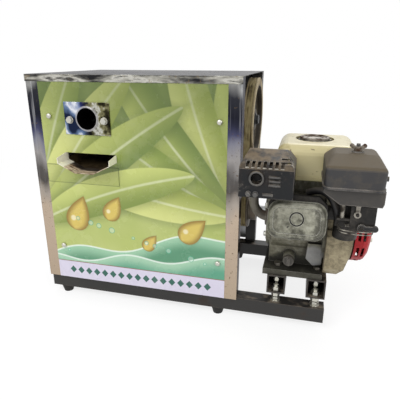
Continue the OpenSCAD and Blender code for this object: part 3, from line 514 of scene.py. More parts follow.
def cover_alloy():
    """Smooth olive casting with an oily corner, specks, a black ring, a pale border of wear and
    painted highlight, and painted shade in its corners.
    """
    s = Shader("cover_alloy", metallic=0.25, bevel=1.4 * MM)
    x, y, z = s.axes()
    low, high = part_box("head_cover")
    middle = (low + high) / 2
    rise = (y - middle.y) * math.cos(COVER_LEAN) + (z - middle.z) * math.sin(COVER_LEAN)
    off_ring = abs(spread(x - middle.x, rise, COVER_RING_SPOT) - COVER_RING_RADIUS)
    ring = (COVER_RING_HALF - off_ring).between(0.0, 0.5 * MM)
    soft = s.noise(11.0, detail=3.0)
    fine = s.noise(140.0, detail=5.0, roughness=0.65)
    corner = (x - middle.x) * 2.0 - rise * 3.0
    stain = (s.noise(38.0, detail=6.0, roughness=0.62) + corner).between(0.5, 0.66)
    specks = s.noise(88.0, detail=1.0).between(0.72, 0.76)
    colour = s.ramp(soft * 0.65 + fine * 0.35, (0.36, "45453a"), (0.47, "6d6c5e"),
                    (0.54, "8b8a7b"), (0.64, "aaa99a"))
    colour = s.mix(stain * 0.78, colour, "2e2c22")
    colour = s.mix(specks * 0.85, colour, "1b1a17")
    # Pale edges: wear and painted highlight.
    colour = s.mix(s.edges(2.2 * MM) * 0.7, colour, "c6c5ba")
    # Painted shade: near black in corners.
    colour = s.mix(s.crevices(4 * MM).between(0.28, 0.55) * 0.95, colour, "12110d")
    colour = s.mix(ring * 0.95, colour, "12110d")
    return s.finish(colour, 0.45 + stain * 0.2, s.noise(330.0, detail=3.0),
                    depth=0.2 * MM, strength=0.35)


def beige_paint():
    """Dirty enamel on the fan cover, with oil and rust blotches, and painted shade in its corners.
    """
    s = Shader("beige_paint", bevel=1.6 * MM)
    blotch = s.noise(110.0, detail=8.0, roughness=0.8) * 0.65 + s.noise(22.0, detail=3.0) * 0.35
    # Blotches and painted shade in corners, in one dark mask.
    dirt = (blotch + s.crevices(18 * MM) * 0.6).between(0.38, 0.66)
    colour = s.mix(s.noise(18.0), "988b6e", "bfb394")
    colour = s.mix(dirt * 0.9, colour, "544a37")
    colour = s.mix(s.noise(70.0, detail=3.0).between(0.66, 0.74) * 0.7, colour, "2e251b")
    return s.finish(colour, 0.55 + dirt * 0.25, s.noise(90.0) + dirt * 0.3,
                    depth=0.2 * MM, strength=0.3)


def red_plastic():
    """Red moulding with scratches, and painted shade in its slots."""
    s = Shader("red_plastic", bevel=1.2 * MM)
    s.surface.inputs["Specular IOR Level"].default_value = 0.3
    # Painted shade: slots and corners go near black.
    dirt = s.crevices(9 * MM).between(0.25, 0.85)
    colour = s.mix(s.noise(24.0, detail=4.0), "8f0d18", "bb1a24")
    colour = s.mix(dirt * 0.9, colour, "1c0d0d")
    scratch = s.noise(60.0, detail=2.0, stretch=(1.0, 8.0, 1.0)).between(0.66, 0.74)
    colour = s.mix(scratch * 0.25, colour, "c96a66")
    return s.finish(colour, 0.45 + scratch * 0.2 + dirt * 0.2, scratch,
                    depth=0.1 * MM, strength=0.3)


def cream_paint():
    """Aged enamel on the tank, with stains that run down, small chips and painted shade in its
    corners.
    """
    s = Shader("cream_paint", coat=0.3, bevel=1.0 * MM)
    runs = s.noise(16.0, detail=5.0, stretch=(3.0, 3.0, 0.35)).between(0.5, 0.74)
    chips = s.noise(85.0, detail=3.0).between(0.7, 0.74)
    colour = s.mix(s.noise(9.0), "c2b47e", "e0d7aa")
    colour = s.mix(runs * 0.5, colour, "9a8656")
    colour = s.mix(chips * 0.8, colour, "5f4f36")
    # Painted shade in corners.
    colour = s.mix(s.crevices(14 * MM).between(0.3, 0.9) * 0.6, colour, "6b5b40")
    return s.finish(colour, 0.36 + runs * 0.2 + chips * 0.2, s.noise(12.0),
                    depth=0.5 * MM, strength=0.25)


def dusty_plastic(name, dark, side, dust_tone):
    """Matt moulding with smudges, rubbed edges and a coat of dust on its upper faces."""
    s = Shader(name, bevel=2.0 * MM)
    dust = s.upward().between(0.05, 0.75) * (0.55 + s.noise(28.0, detail=5.0) * 0.6)
    colour = s.mix(s.noise(12.0, detail=4.0), dark, side)
    colour = s.mix(dust, colour, dust_tone)
    smudge = s.noise(48.0, detail=6.0, roughness=0.7).between(0.48, 0.72)
    colour = s.mix(smudge * 0.3, colour, dust_tone)
    rub = s.edges(3 * MM) * s.noise(40.0).between(0.35, 0.65)
    colour = s.mix(rub * 0.8, colour, "97918a")
    return s.finish(colour, 0.5 + dust * 0.25, s.noise(520.0, detail=2.0),
                    depth=0.15 * MM, strength=0.35)


def sooty_steel(name, dark, pale, dust_tone):
    """Heat-darkened sheet, dusty on its upper faces, with rubbed edges and bright flecks."""
    s = Shader(name, metallic=0.4, bevel=1.4 * MM)
    rust = s.noise(32.0, detail=6.0).between(0.45, 0.7)
    dust = s.upward().between(0.3, 0.95)
    dust = dust * s.noise(42.0, detail=7.0, roughness=0.7).between(0.36, 0.6)
    colour = s.mix(s.noise(10.0), dark, pale)
    colour = s.mix(rust * 0.4, colour, "3a2e26")
    colour = s.mix(dust * 0.9, colour, dust_tone)
    wear = s.edges(1.8 * MM) * s.noise(55.0, detail=3.0).between(0.35, 0.6)
    flecks = s.noise(120.0, detail=8.0, roughness=0.8).between(0.56, 0.74)
    colour = s.mix((wear * 0.75).op("MAXIMUM", flecks * 0.4), colour, "9d978e")
    return s.finish(colour, 0.45 + rust * 0.25 + dust * 0.15, s.noise(140.0) + rust * 0.5,
                    depth=0.3 * MM, strength=0.4)


# Print on the front panel: blades, waves, drops and bubbles, over a foot strip with diamonds

PANEL_LOW, PANEL_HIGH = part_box("front_panel")
STRIP_TOP = 40 * MM
DIAMONDS, DIAMOND_PITCH, DIAMOND_TALL, DIAMOND_WIDE = 17, 19 * MM, 9 * MM, 8 * MM
CELLS_LEFT = 40.5  # cells are counted from far left, so that no fraction is negative
APRON_LEFT, APRON_RIGHT, APRON_FOOT, APRON_HEAD = 1 * MM, 159 * MM, 221 * MM, 258 * MM
APRON_THICK = 1 * MM
DROPS = (82 * MM, 60 * MM, 44 * MM, 70 * MM)
BUBBLES = 11


def paint_blade(s, colour, u, w, foot, heading, length, half, tones):
    """A long pointed leaf blade with a pale midrib and a soft shadow under it."""
    c, n = math.cos(heading), math.sin(heading)
    along = ((u - foot[0]) * c + (w - foot[1]) * n) / length
    bend = along * along * 1.4
    across = ((w - foot[1]) * c - (u - foot[0]) * n) / half + bend
    swell = (along * (1.0 - along) * 4.0).op("MAXIMUM", 0.0).op("POWER", 0.6)
    beyond = (abs(along - 0.5) - 0.5).op("MAXIMUM", 0.0)
    reach = swell - abs(across) - beyond * 6.0
    lit = across.between(-1.0, 1.0)
    midrib = (0.1 - abs(across)).between(0.0, 0.08)
    blade = s.mix(lit, tones[0], tones[1])
    blade = s.mix(midrib * 0.45, blade, "eef2cf")
    colour = s.mix(reach.between(-0.45, 0.1) * 0.34, colour, "465c1e")
    return s.mix(reach.between(0.0, 0.06), colour, blade)


def paint_fan(s, colour, u, w, foot, start, step, count, length, half):
    """Blades that spread from one point, in three lengths and tones."""
    tones = (("7c8f3c", "c7d078"), ("93a046", "d6db88"), ("6c8138", "b8c26a"))
    for i in range(count):
        heading = math.radians(start + step * i)
        long = length * (1 + 0.06 * (i % 3))
        colour = paint_blade(s, colour, u, w, foot, heading, long, half, tones[i % 3])
    return colour


def paint_wave(s, colour, u, w, level, rise, swing, turns, phase, tones):
    """A band of water with a pale crest, higher towards the right."""
    crest = (u * turns + phase).op("SINE") * swing + u * rise + level
    depth = crest - w
    water = s.mix((depth / (34 * MM)).between(0.0, 1.0), tones[0], tones[1])
    foam = (2.6 * MM - abs(depth)).between(0.0, 1.6 * MM)
    colour = s.mix(depth.between(0.0, 1.2 * MM) * 0.9, colour, water)
    return s.mix(foam * 0.8, colour, "eefaf0")


def paint_drop(s, colour, u, w, foot, lean, length):
    """A golden drop, round at its foot and pointed, with a pale gleam and a darker rim."""
    c, n = math.cos(lean), math.sin(lean)
    along = ((u - foot[0]) * c + (w - foot[1]) * n) / length
    across = ((w - foot[1]) * c - (u - foot[0]) * n) / length
    swell = along.op("MAXIMUM", 0.0).op("SQRT") * (1.0 - along) * 0.85
    reach = swell - abs(across) + along.op("MINIMUM", 0.0)
    body = s.mix(reach.between(0.0, 0.2), "93742a", "d8c05e")
    gleam = spread(along, across, (0.3, 0.11))
    body = s.mix((0.1 - gleam).between(0.0, 0.06) * 0.85, body, "f4ebc4")
    colour = s.mix(reach.between(-0.07, 0.02) * 0.3, colour, "6e7a2c")
    return s.mix(reach.between(0.0, 0.015), colour, body)


def paint_bubble(s, colour, u, w, centre, radius):
    """A thin mint ring with a faint fill."""
    away = spread(u, w, centre)
    colour = s.mix((radius - away).between(0.0, 0.8 * MM) * 0.35, colour, "d8f4e4")
    ring = (1.0 * MM - abs(away - radius)).between(0.0, 0.7 * MM)
    return s.mix(ring * 0.8, colour, "4fae8c")


def paint_strip(s, colour, u, w, width):
    """A pale foot strip with a brown line above it and a row of diamonds."""
    colour = s.mix((STRIP_TOP + 1.6 * MM - w).between(0.0, 0.4 * MM), colour, "8a5a4a")
    colour = s.mix((STRIP_TOP - w).between(0.0, 0.4 * MM), colour, "dcd6ea")
    cell = ((u - width / 2) / DIAMOND_PITCH + CELLS_LEFT).op("FRACT")
    cell = cell * DIAMOND_PITCH - DIAMOND_PITCH / 2
    shape = 1.0 - abs(cell) / DIAMOND_WIDE - abs(w - STRIP_TOP * 0.52) / DIAMOND_TALL
    inside = (DIAMOND_PITCH * DIAMONDS / 2 - abs(u - width / 2)).between(0.0, 0.5 * MM)
    return s.mix(shape.between(0.0, 0.08) * inside, colour, "1f5f52")


def paint_apron(s, colour, u, w):
    """The plate under the chute: a little duller, with a dark seam along its edge."""
    edge = (u - APRON_LEFT).op("MINIMUM", APRON_RIGHT - u)
    edge = edge.op("MINIMUM", w - APRON_FOOT).op("MINIMUM", APRON_HEAD - w)
    colour = s.mix(edge.between(0.0, 0.6 * MM) * 0.22, colour, "848d45")
    return s.mix((1.4 * MM - abs(edge)).between(0.0, 1.0 * MM) * 0.5, colour, "48552a")


def paint_drops(s, colour, u, w, width, height):
    """Drops in a row, each leaning more than the last."""
    for i, length in enumerate(DROPS):
        foot = (width * (0.13 + 0.21 * i), height * (0.28 + 0.08 * math.sin(2.1 * i)))
        colour = paint_drop(s, colour, u, w, foot, math.radians(70 - 9 * i), length)
    return colour


def paint_bubbles(s, colour, u, w, width, height):
    """Rings of four sizes, scattered over the water."""
    for i in range(BUBBLES):
        centre = (width * (0.08 + 0.86 * (0.618 * i % 1.0)),
                  height * (0.16 + 0.2 * (0.382 * i % 1.0)))
        colour = paint_bubble(s, colour, u, w, centre, (3 + i % 4) * MM)
    return colour


def print_sheet():
    """Glossy print in pale greens, mint and gold, on a sheet that is bare grey inside."""
    s = Shader("print", coat=0.35, bevel=0.5 * MM)
    x, depth, z = s.axes()
    u, w = x - PANEL_LOW.x, z - PANEL_LOW.z
    width, height = PANEL_HIGH.x - PANEL_LOW.x, PANEL_HIGH.z - PANEL_LOW.z
    colour = s.mix(w.between(0.08, 0.36), "b6c26c", "647c34")
    colour = s.mix(s.noise(9.0, detail=2.0).between(0.35, 0.7) * 0.35, colour, "cbd28c")
    colour = paint_fan(s, colour, u, w, foot=(width * 1.04, height * 0.42), start=96, step=20,
                       count=5, length=0.36, half=40 * MM)
    colour = paint_fan(s, colour, u, w, foot=(-0.03, 0.13), start=80, step=-17,
                       count=4, length=0.36, half=42 * MM)
    # Darker towards the top: print tone and painted shade under the lid.
    colour = s.mix(w.between(0.26, 0.42) * 0.58, colour, "4a5a1e")
    colour = paint_wave(s, colour, u, w, level=58 * MM, rise=0.2, swing=12 * MM, turns=26,
                        phase=0.4, tones=("9accae", "3f8c70"))
    colour = paint_drops(s, colour, u, w, width, height)
    colour = paint_wave(s, colour, u, w, level=48 * MM, rise=0.09, swing=8 * MM, turns=34,
                        phase=2.2, tones=("aed6b8", "57a284"))
    colour = paint_bubbles(s, colour, u, w, width, height)
    colour = paint_strip(s, colour, u, w, width)
    fade = s.noise(30.0, detail=5.0).between(0.5, 0.8)
    colour = s.mix(fade * 0.07, colour, "f2f0dc")
    colour = paint_apron(s, colour, u, w)
    inside = (depth - PANEL_HIGH.y + 0.5 * MM).between(0.0, 0.2 * MM)
    colour = s.mix(inside, colour, s.mix(fade, "6f7071", "57534b"))
    return s.finish(colour, 0.26 + fade * 0.16)


SLOT_MATERIALS = {
    "bright_steel": post_steel(),
    "sheet_steel": sheet_steel(),
    "stained_steel": stained_steel(),
    "print": print_sheet(),
    "black_paint": black_paint(),
    "foot_rubber": foot_rubber(),
    "zinc": zinc("zinc"),
    "plate_iron": plate_iron(),
    "gear_iron": gear_iron(),
    "turned_steel": turned_steel(),
    "bronze": bronze(),
    "belt_rubber": belt_rubber(),
    "alloy": alloy("alloy", 0.25, 138 * MM, (0.34, "423f33"), (0.46, "6d6a5a"),
                   (0.55, "8a8778"), (0.66, "b4b2a8")),
    "beige_paint": beige_paint(),
    "red_plastic": red_plastic(),
    "cream_paint": cream_paint(),
    "black_plastic": dusty_plastic("black_plastic", "101010", "202022", "433d37"),
    "brown_plastic": dusty_plastic("brown_plastic", "232224", "393839", "5b503d"),
    "sooty_steel": sooty_steel("sooty_steel", "0a0b0d", "1b1d20", "7c6d58"),
    # Near-black tones: painted shade on the block under the tank and round the carburettor.
    "dark_alloy": alloy("dark_alloy", 0.3, 120 * MM, (0.36, "0e0d0c"), (0.5, "221f1c"),
                        (0.66, "4a453e")),
}
WORN, RUSTY = worn_steel(), rusty_steel()
SOOTY_TRIM = sooty_steel("sooty_trim", "343434", "6f6e6c", "79746d")
NODE_MATERIALS = {
    "top_cover": lid_steel(),
    "inlet_plate": plate_steel(),
    "juice_chute": chute_steel(),
    "wing_nut": RUSTY,
    "fuel_cap": WORN,
    "choke_lever": WORN,
    "drive_pulley": pulley_iron(),
    "exhaust_elbow": sooty_steel("exhaust_pipe", "4c4840", "7d786d", "7c6b5b"),
    "oil_cap": dusty_plastic("oil_cap", "2d2a26", "464139", "5a534b"),
    "air_base": dusty_plastic("base_plastic", "2a2826", "413d39", "5f564b"),
    "head_cover": cover_alloy(),
    "engine_bolts": zinc("bolt_zinc", 114 * MM),
}


def dress_nodes():
    """Gives every CAD node its own material or that of its slot."""
    for part in frame["record"]["subparts"]:
        name, slot = part["node"], part["material_slot"]
        materials = NODES[name].data.materials
        materials.clear()
        materials.append(NODE_MATERIALS.get(name, SLOT_MATERIALS[slot]))


# Detail pieces, drawn in millimetres from the lower left corner of the front panel's sheet

ORIGIN = PANEL_LOW + Vector((0.0, APRON_THICK, 0.0))
CRANK = Vector((505.0, 110.0, 157.0))
TO_LEFT, TO_RIGHT = (-1, 0, 0), (1, 0, 0)
TO_FRONT, TO_BACK = (0, -1, 0), (0, 1, 0)
TO_TOP = (0, 0, 1)
SMOOTH_BELOW = math.radians(38)
START_SIDE = Vector((0.31, 0.47, 0.83))  # a direction that no tube runs along


def engine(x, y, z):
    """A point given from the crankshaft, in the cylinder plane."""
    return CRANK + Vector((x, y, z))


def facing(point, direction):
    """Places a local Z axis at a point, along a direction."""
    turn = Vector(direction).to_track_quat("Z", "Y").to_matrix().to_4x4()
    return Matrix.Translation(point) @ turn


def on_circle(radius, k, sides, height):
    """Corner k of a polygon round the Z axis."""
    angle = math.tau * k / sides
    return Vector((radius * math.cos(angle), radius * math.sin(angle), height))


def curve_through(points, steps):
    """A smooth line through points."""
    points = [Vector(p) for p in points]
    padded = [2 * points[0] - points[1]] + points + [2 * points[-1] - points[-2]]
    line = []
    for a, b, c, d in zip(padded, padded[1:], padded[2:], padded[3:]):
        square, cube = 2 * a - 5 * b + 4 * c - d, 3 * b - a - 3 * c + d
        for k in range(steps):
            t = k / steps
            line.append(0.5 * (2 * b + (c - a) * t + square * t * t + cube * t ** 3))
    return line + [points[-1]]


def coil_line(start, length, turns, radius, steps=10):
    """A coil along X, with so many steps to a turn, from a point given from the crankshaft."""
    x, y, z = start
    count = turns * steps
    return [engine(x + length * k / count, y + radius * math.cos(k * math.tau / steps),
                   z + radius * math.sin(k * math.tau / steps)) for k in range(count + 1)]


class Shape:
    """Gathers solids into one mesh."""

    def __init__(self):
        self.points = []
        self.faces = []

    def loft(self, rings, loop=False):
        """Skins rings of equal length, closed at both ends or joined end to start."""
        first, size, count = len(self.points), len(rings[0]), len(rings)
        self.points += [Vector(point) for ring in rings for point in ring]
        for i in range(count if loop else count - 1):
            a, b = first + i * size, first + (i + 1) % count * size
            for k in range(size):
                after = (k + 1) % size
                self.faces.append((a + k, a + after, b + after, b + k))
        if not loop:
            last = first + (count - 1) * size
            self.faces.append(list(range(first, first + size)))
            self.faces.append(list(range(last, last + size)))

    def turned(self, profile, place, sides=32):
        """Turns a closed outline of (radius, height) points round the local Z axis."""
        self.loft([[place @ on_circle(r, k, sides, z) for r, z in profile]
                   for k in range(sides)], loop=True)

    def domed(self, profile, place, sides=24):
        """Stacks flat rings of (radius, height) and closes both ends."""
        self.loft([[place @ on_circle(r, k, sides, z) for k in range(sides)]
                   for r, z in profile])

    def tube(self, line, radius, sides=10):
        """A round bar along a line."""
        rings, side = [], START_SIDE
        angles = [math.tau * k / sides for k in range(sides)]
        for i, point in enumerate(line):
            ahead = (line[min(i + 1, len(line) - 1)] - line[max(i - 1, 0)]).normalized()
            side = (side - ahead * side.dot(ahead)).normalized()
            other = ahead.cross(side)
            rings.append([point + radius * (math.cos(a) * side + math.sin(a) * other)
                          for a in angles])
        self.loft(rings)

    def ridge(self, left, right, inset, ends, middle, radius):
        """A lip along X whose ends dip from the (y, z) of its middle, from the crankshaft."""
        self.tube([engine(left, *ends), engine(left + inset, *middle),
                   engine(right - inset, *middle), engine(right, *ends)], radius)

    def bolt(self, point, direction, radius, height):
        """A hexagon head with a washer and a chamfered top."""
        place = facing(point, direction)
        washer, brim = height * 0.2, radius * 1.25
        self.domed([(brim, 0), (brim, washer * 0.8), (radius * 1.15, washer)], place)
        self.domed([(radius, washer), (radius, height * 0.85), (radius * 0.84, height)],
                   place, sides=6)

    def bolt_circle(self, count, start, circle, x, direction, radius, height):
        """Bolts at even angles round the crankshaft, from a start angle in degrees."""
        for k in range(count):
            a = math.radians(start + 360 / count * k)
            self.bolt(engine(x, circle * math.cos(a), circle * math.sin(a)), direction,
                      radius, height)

    def pan_head(self, point, direction, radius):
        """A low domed screw head."""
        self.domed([(radius, 0), (radius * 0.97, radius * 0.22), (radius * 0.8, radius * 0.42),
                    (radius * 0.45, radius * 0.55), (radius * 0.08, radius * 0.6)],
                   facing(point, direction))

    def make(self, name, slot, body="frame", material=None):
        """Makes the mesh, dresses it and lets it ride on a body."""
        mesh = bpy.data.meshes.new(name)
        mesh.from_pydata([ORIGIN + point * MM for point in self.points], [], self.faces)
        work = bmesh.new()
        work.from_mesh(mesh)
        bmesh.ops.recalc_face_normals(work, faces=work.faces)
        work.to_mesh(mesh)
        work.free()
        mesh.shade_smooth()
        mesh.set_sharp_from_angle(angle=SMOOTH_BELOW)
        mesh.materials.append(material or SLOT_MATERIALS[slot])
        made = bpy.data.objects.new(name, mesh)
        bpy.context.scene.collection.objects.link(made)
        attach(made, body)
        return made


# Belt

JACK_YZ, CRANK_YZ, BELT_X = (195.0, 335.0), (CRANK.y, CRANK.z), 394.0
BELT_BIG, BELT_SMALL, BELT_DEPTH = 87.5, 37.5, 8.0
HALF_FOOT, HALF_WIDE, HALF_BACK, BACK_EDGE = 4.3, 6.4, 5.9, 0.8
COG_DEPTH, COG_PITCH = 1.6, 4.0


def belt_stations():
    """Centre, outer radius and angle all round the belt: big arc, run, small arc, run."""
    dy, dz = JACK_YZ[0] - CRANK_YZ[0], JACK_YZ[1] - CRANK_YZ[1]
    lean, span = math.atan2(dz, dy), math.hypot(dy, dz)
    wrap = math.acos((BELT_SMALL - BELT_BIG) / span)
    run = math.sqrt(span ** 2 - (BELT_BIG - BELT_SMALL) ** 2)
    first, second = lean - wrap, lean + wrap
    corners = [(*JACK_YZ, BELT_BIG, first), (*JACK_YZ, BELT_BIG, second),
               (*CRANK_YZ, BELT_SMALL, second), (*CRANK_YZ, BELT_SMALL, first + math.tau),
               (*JACK_YZ, BELT_BIG, first + math.tau)]
    lengths = [2 * wrap * BELT_BIG, run, (math.tau - 2 * wrap) * BELT_SMALL, run]
    stations = []
    for start, end, length in zip(corners, corners[1:], lengths):
        count = 2 * round(length / COG_PITCH / 2)
        for k in range(count):
            t = k / count
            stations.append([a + (b - a) * t for a, b in zip(start, end)])
    return stations


def drive_belt():
    """Cogged V-belt in both grooves."""
    rings = []
    for i, (y, z, radius, angle) in enumerate(belt_stations()):
        inner, shoulder = radius - BELT_DEPTH + COG_DEPTH * (i % 2), radius - BACK_EDGE
        section = [(inner, -HALF_FOOT), (shoulder, -HALF_WIDE), (radius, -HALF_BACK),
                   (radius, HALF_BACK), (shoulder, HALF_WIDE), (inner, HALF_FOOT)]
        rings.append([(BELT_X + x, y + r * math.cos(angle), z + r * math.sin(angle))
                      for r, x in section])
    shape = Shape()
    shape.loft(rings, loop=True)
    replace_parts(shape.make("drive_belt", "belt_rubber"), "v_belt")


# Small fittings of the cabinet

SCREW_FRONT, LEFT_FACE, BACK_FACE = -2.4, -25, 311
PANEL_HEAD, SHEET_HEAD = 5.2, 4.0
HUB_FACE = BELT_X + 4.5


def cabinet_screws():
    """Domed screw heads on the front, left and back sheets."""
    shape = Shape()
    for x in (19, 360):
        for z in (355, 78):
            shape.pan_head((x, SCREW_FRONT, z), TO_FRONT, PANEL_HEAD)
    for z in (30, 160, 290, 410):
        for y in (32, 279):
            shape.pan_head((LEFT_FACE, y, z), TO_LEFT, SHEET_HEAD)
        for x in (9, 365):
            shape.pan_head((x, BACK_FACE, z), TO_BACK, SHEET_HEAD)
    shape.make("cabinet_screws", "zinc")


def hub_nut():
    """Nut and washer on the end of the jack shaft."""
    shape = Shape()
    shape.bolt((HUB_FACE, *JACK_YZ), TO_RIGHT, radius=11, height=7)
    shape.make("hub_nut", "plate_iron", "jack")


# Small fittings of the engine, placed from the crankshaft

GUARD_FRONT, CASE_FACE, STARTER_FACE = -210.0, -58, 138
OUTLET, CAP_TOP = (-65, GUARD_FRONT, 129), (20, -25, 163)
OUTLET_RING = [(7.3, 3.0), (11.6, 3.0), (12.0, 4.2), (10.9, 5.2), (9.6, 5.2), (8.8, 4.0),
               (7.3, 4.0)]
LOUVRES = [(-45, -29, 132, 1.5), (-45, -29, 125.5, 1.5), (-45, -29, 119, 1.5),
           (-54, -40, 103, 1.3)]
GUARD_BOLTS = [(-77, GUARD_FRONT, 103), (-66, GUARD_FRONT, 103)]
FRONT_SLOTS, FIRST_SLOT, SLOT_PITCH, SLOT_WIDE = 7, -83, 9, 5
BEAD_ENDS, BEAD_MIDDLE, BEAD_RADIUS = (-208.2, 144.4), (-208.6, 144.8), 1.0
SIDE_SLOTS = [(-198.7, 146.5, 150.6), (-185.7, 147.5, 153.4)]
BEVEL_X, BEVEL_Z, BEVEL_RUN, BEVEL_RISE = -8, 144, 18, 21
BOSS_STEPS = [(39, -1), (39, 1.2), (37, 2.2), (30, 2.2), (28.5, 3.6), (24, 4.2), (9, 4.2),
              (7, 2.6), (0.5, 2.6)]
RIM_OUTLINE = [(14, 1.0), (16, 0.6), (21, 0.6), (22.5, 2.4), (26, 2.4), (27.1, 1.2),
               (27.1, 0.0), (14, 0.0)]
STUD = [(70, -172, 63), (70, -172, 94.5)]
RODS = [(47, -187), (43, -188)]
ELBOW = [(14, -122, 84), (28, -128, 91), (42, -138, 92), (54, -150, 85), (61, -158, 71),
         (66, -158, 55)]


def exhaust_trim():
    """Outlet ring, worn louvre ridges and the two guard bolts."""
    shape = Shape()
    shape.turned(OUTLET_RING, facing(engine(*OUTLET), TO_FRONT))
    for left, right, z, radius in LOUVRES:
        ends, middle = (GUARD_FRONT - 1.2, z), (GUARD_FRONT - 2.2, z)
        shape.ridge(left, right, 2, ends, middle, radius)
    for spot in GUARD_BOLTS:
        shape.bolt(engine(*spot), TO_FRONT, radius=3.9, height=5.4)
    shape.make("exhaust_trim", "sooty_steel", material=SOOTY_TRIM)


def guard_beads():
    """Worn bright lips below the guard's front slots and beside its side slots."""
    shape = Shape()
    for k in range(FRONT_SLOTS):
        left = FIRST_SLOT + SLOT_PITCH * k
        shape.ridge(left, left + SLOT_WIDE, 1, BEAD_ENDS, BEAD_MIDDLE, BEAD_RADIUS)
    for y, foot, head in SIDE_SLOTS:
        shape.tube([engine(BEVEL_X - (z - BEVEL_Z) * BEVEL_RUN / BEVEL_RISE, y, z)
                    for z in (foot, head)], BEAD_RADIUS)
    shape.make("guard_beads", "sooty_steel", material=WORN)


def case_bolts():
    """Bolt heads round the shaft side of the crankcase and on the starter cover."""
    shape = Shape()
    shape.bolt_circle(6, 30, 60, CASE_FACE, TO_LEFT, radius=5.2, height=5.5)
    shape.bolt_circle(3, 90, 50, STARTER_FACE, TO_RIGHT, radius=4.8, height=4.5)
    shape.make("case_bolts", "zinc")


def starter_boss():
    """Stepped boss in the middle of the starter cover."""
    shape = Shape()
    shape.domed(BOSS_STEPS, facing(engine(STARTER_FACE, 0, 0), TO_RIGHT), sides=40)
    shape.make("starter_boss", "red_plastic")


def cap_rim():
    """Raised rim and dished middle on top of the fuel cap."""
    shape = Shape()
    shape.turned(RIM_OUTLINE, facing(engine(*CAP_TOP), TO_TOP), sides=40)
    shape.make("cap_rim", "zinc", "tank_cap", RUSTY)


def carburettor_trim():
    """Stud, rods and spring; the rods pass in front of the fuel lever's swing."""
    shape = Shape()
    shape.tube([engine(*spot) for spot in STUD], radius=3.9, sides=14)
    for z, front in RODS:
        spots = [(66, -157, z), (66, -172, z), (74, front, z), (112, front, z),
                 (118, -172, z + 3), (118, -158, z + 18)]
        line = curve_through([engine(*spot) for spot in spots], steps=6)
        shape.tube(line, radius=1.0, sides=8)
    coil = coil_line((76, -168, 49), length=30, turns=12, radius=2.6)
    shape.tube(coil, radius=0.6, sides=6)
    shape.make("carburettor_trim", "zinc", material=WORN)


def breather_elbow():
    """Stiff moulded elbow that leads from the head to the carburettor."""
    shape = Shape()
    line = curve_through([engine(*spot) for spot in ELBOW], steps=8)
    shape.tube(line, radius=6.2, sides=14)
    shape.make("breather_elbow", "black_plastic")


# Studio, in metres and watts

FLOOR_HALF, FADE_FROM, FADE_TO = 30.0, 0.6, 1.6
FLOOR_TONE, SHADE_TONE, FLOOR_GLOW = (0.85, 0.85, 0.84, 1.0), (0.3, 0.3, 0.3, 1.0), 0.78
WHITE, WORLD_LIGHT = (1.0, 1.0, 1.0, 1.0), 0.55
LAMPS = [  # name, place, target, size, power
    ("key", (-0.9, -1.8, 1.9), (0.0, 0.0, 0.2), 1.4, 26.0),
    ("fill", (1.7, -1.5, 1.1), (0.1, 0.0, 0.2), 1.2, 12.0),
    ("back", (0.6, 1.8, 1.8), (0.0, 0.0, 0.3), 1.2, 14.0),
]
CAMERA_PLACE, CAMERA_DOWN, CAMERA_TURN = (0.2009, -0.8252, 0.5092), 19.02, 14.58
SENSOR_WIDTH, LENS = 36.0, 36.97


def fed(tree, kind, *sources, **values):
    """Adds a node, feeds its first inputs, sets named ones, and gives its first output."""
    made = tree.nodes.new(kind)
    for source, socket in zip(sources, made.inputs):
        tree.links.new(source, socket)
    for name, value in values.items():
        made.inputs[name].default_value = value
    return made.outputs[0]


def direct_view(tree):
    """1 for rays of the camera and of reflections and glass, 0 for the light on surfaces."""
    path = tree.nodes.new("ShaderNodeLightPath")
    seen = path.outputs["Is Camera Ray"]
    for ray in ("Is Glossy Ray", "Is Transmission Ray"):
        seen = fed(tree, "ShaderNodeMath", seen, path.outputs[ray])
        seen.node.operation = "MAXIMUM"
    return seen


def far_away(tree):
    """0 on the floor round the object, 1 far from it."""
    place = fed(tree, "ShaderNodeNewGeometry")
    away = fed(tree, "ShaderNodeVectorMath", place).node
    away.operation = "LENGTH"
    far = fed(tree, "ShaderNodeMapRange", away.outputs["Value"],
              **{"From Min": FADE_FROM, "From Max": FADE_TO})
    far.node.interpolation_type = "SMOOTHSTEP"
    return far


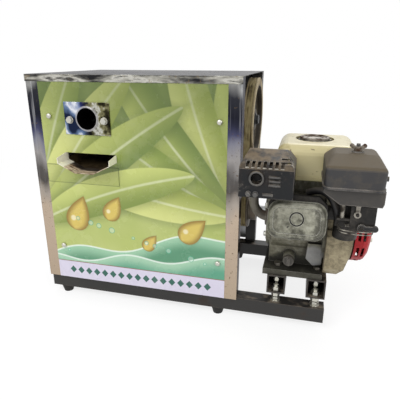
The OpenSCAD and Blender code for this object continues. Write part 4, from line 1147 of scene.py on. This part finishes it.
def floor_material():
    """Near white to the camera and in reflections, with the shadow, and white far away."""
    material = bpy.data.materials.new("floor")
    material.use_nodes = True
    tree = material.node_tree
    tree.nodes.clear()
    plain = fed(tree, "ShaderNodeBsdfDiffuse", Color=FLOOR_TONE)
    shaded = fed(tree, "ShaderNodeBsdfDiffuse", Color=SHADE_TONE)
    glow = fed(tree, "ShaderNodeEmission", Strength=FLOOR_GLOW)
    lifted = fed(tree, "ShaderNodeAddShader", shaded, glow)
    white = fed(tree, "ShaderNodeEmission")
    seen = fed(tree, "ShaderNodeMixShader", far_away(tree), lifted, white)
    choice = fed(tree, "ShaderNodeMixShader", direct_view(tree), plain, seen)
    out = tree.nodes.new("ShaderNodeOutputMaterial")
    tree.links.new(choice, out.inputs["Surface"])
    return material


def floor():
    """A wide pale floor under the object."""
    mesh = bpy.data.meshes.new("floor")
    corners = [(-FLOOR_HALF, -FLOOR_HALF, 0), (FLOOR_HALF, -FLOOR_HALF, 0),
               (FLOOR_HALF, FLOOR_HALF, 0), (-FLOOR_HALF, FLOOR_HALF, 0)]
    mesh.from_pydata(corners, [], [(0, 1, 2, 3)])
    made = bpy.data.objects.new("floor", mesh)
    bpy.context.scene.collection.objects.link(made)
    mesh.materials.append(floor_material())


def world():
    """White to the camera and in reflections, a softer grey as light."""
    made = bpy.data.worlds.new("studio")
    bpy.context.scene.world = made
    made.use_nodes = True
    tree = made.node_tree
    background = tree.nodes["Background"]
    background.inputs["Color"].default_value = WHITE
    level = fed(tree, "ShaderNodeMapRange", direct_view(tree), **{"To Min": WORLD_LIGHT})
    tree.links.new(level, background.inputs["Strength"])


def lamp(name, place, target, size, power):
    """A square lamp that points at a target."""
    light = bpy.data.lights.new(name, "AREA")
    light.size = size
    light.energy = power
    made = bpy.data.objects.new(name, light)
    made.location = place
    aim = Vector(target) - Vector(place)
    made.rotation_euler = aim.to_track_quat("-Z", "Y").to_euler()
    bpy.context.scene.collection.objects.link(made)


def camera():
    """Camera at the photograph's place, for a square frame."""
    lens = bpy.data.cameras.new("camera")
    lens.sensor_width = SENSOR_WIDTH
    lens.lens = LENS
    made = bpy.data.objects.new("camera", lens)
    made.location = CAMERA_PLACE
    made.rotation_euler = (math.radians(90 - CAMERA_DOWN), 0.0, math.radians(CAMERA_TURN))
    bpy.context.scene.collection.objects.link(made)
    bpy.context.scene.camera = made


dress_nodes()
drive_belt()
cabinet_screws()
exhaust_trim()
guard_beads()
case_bolts()
starter_boss()
hub_nut()
cap_rim()
carburettor_trim()
breather_elbow()
floor()
world()
for row in LAMPS:
    lamp(*row)
camera()
bpy.context.scene.view_settings.view_transform = "Standard"
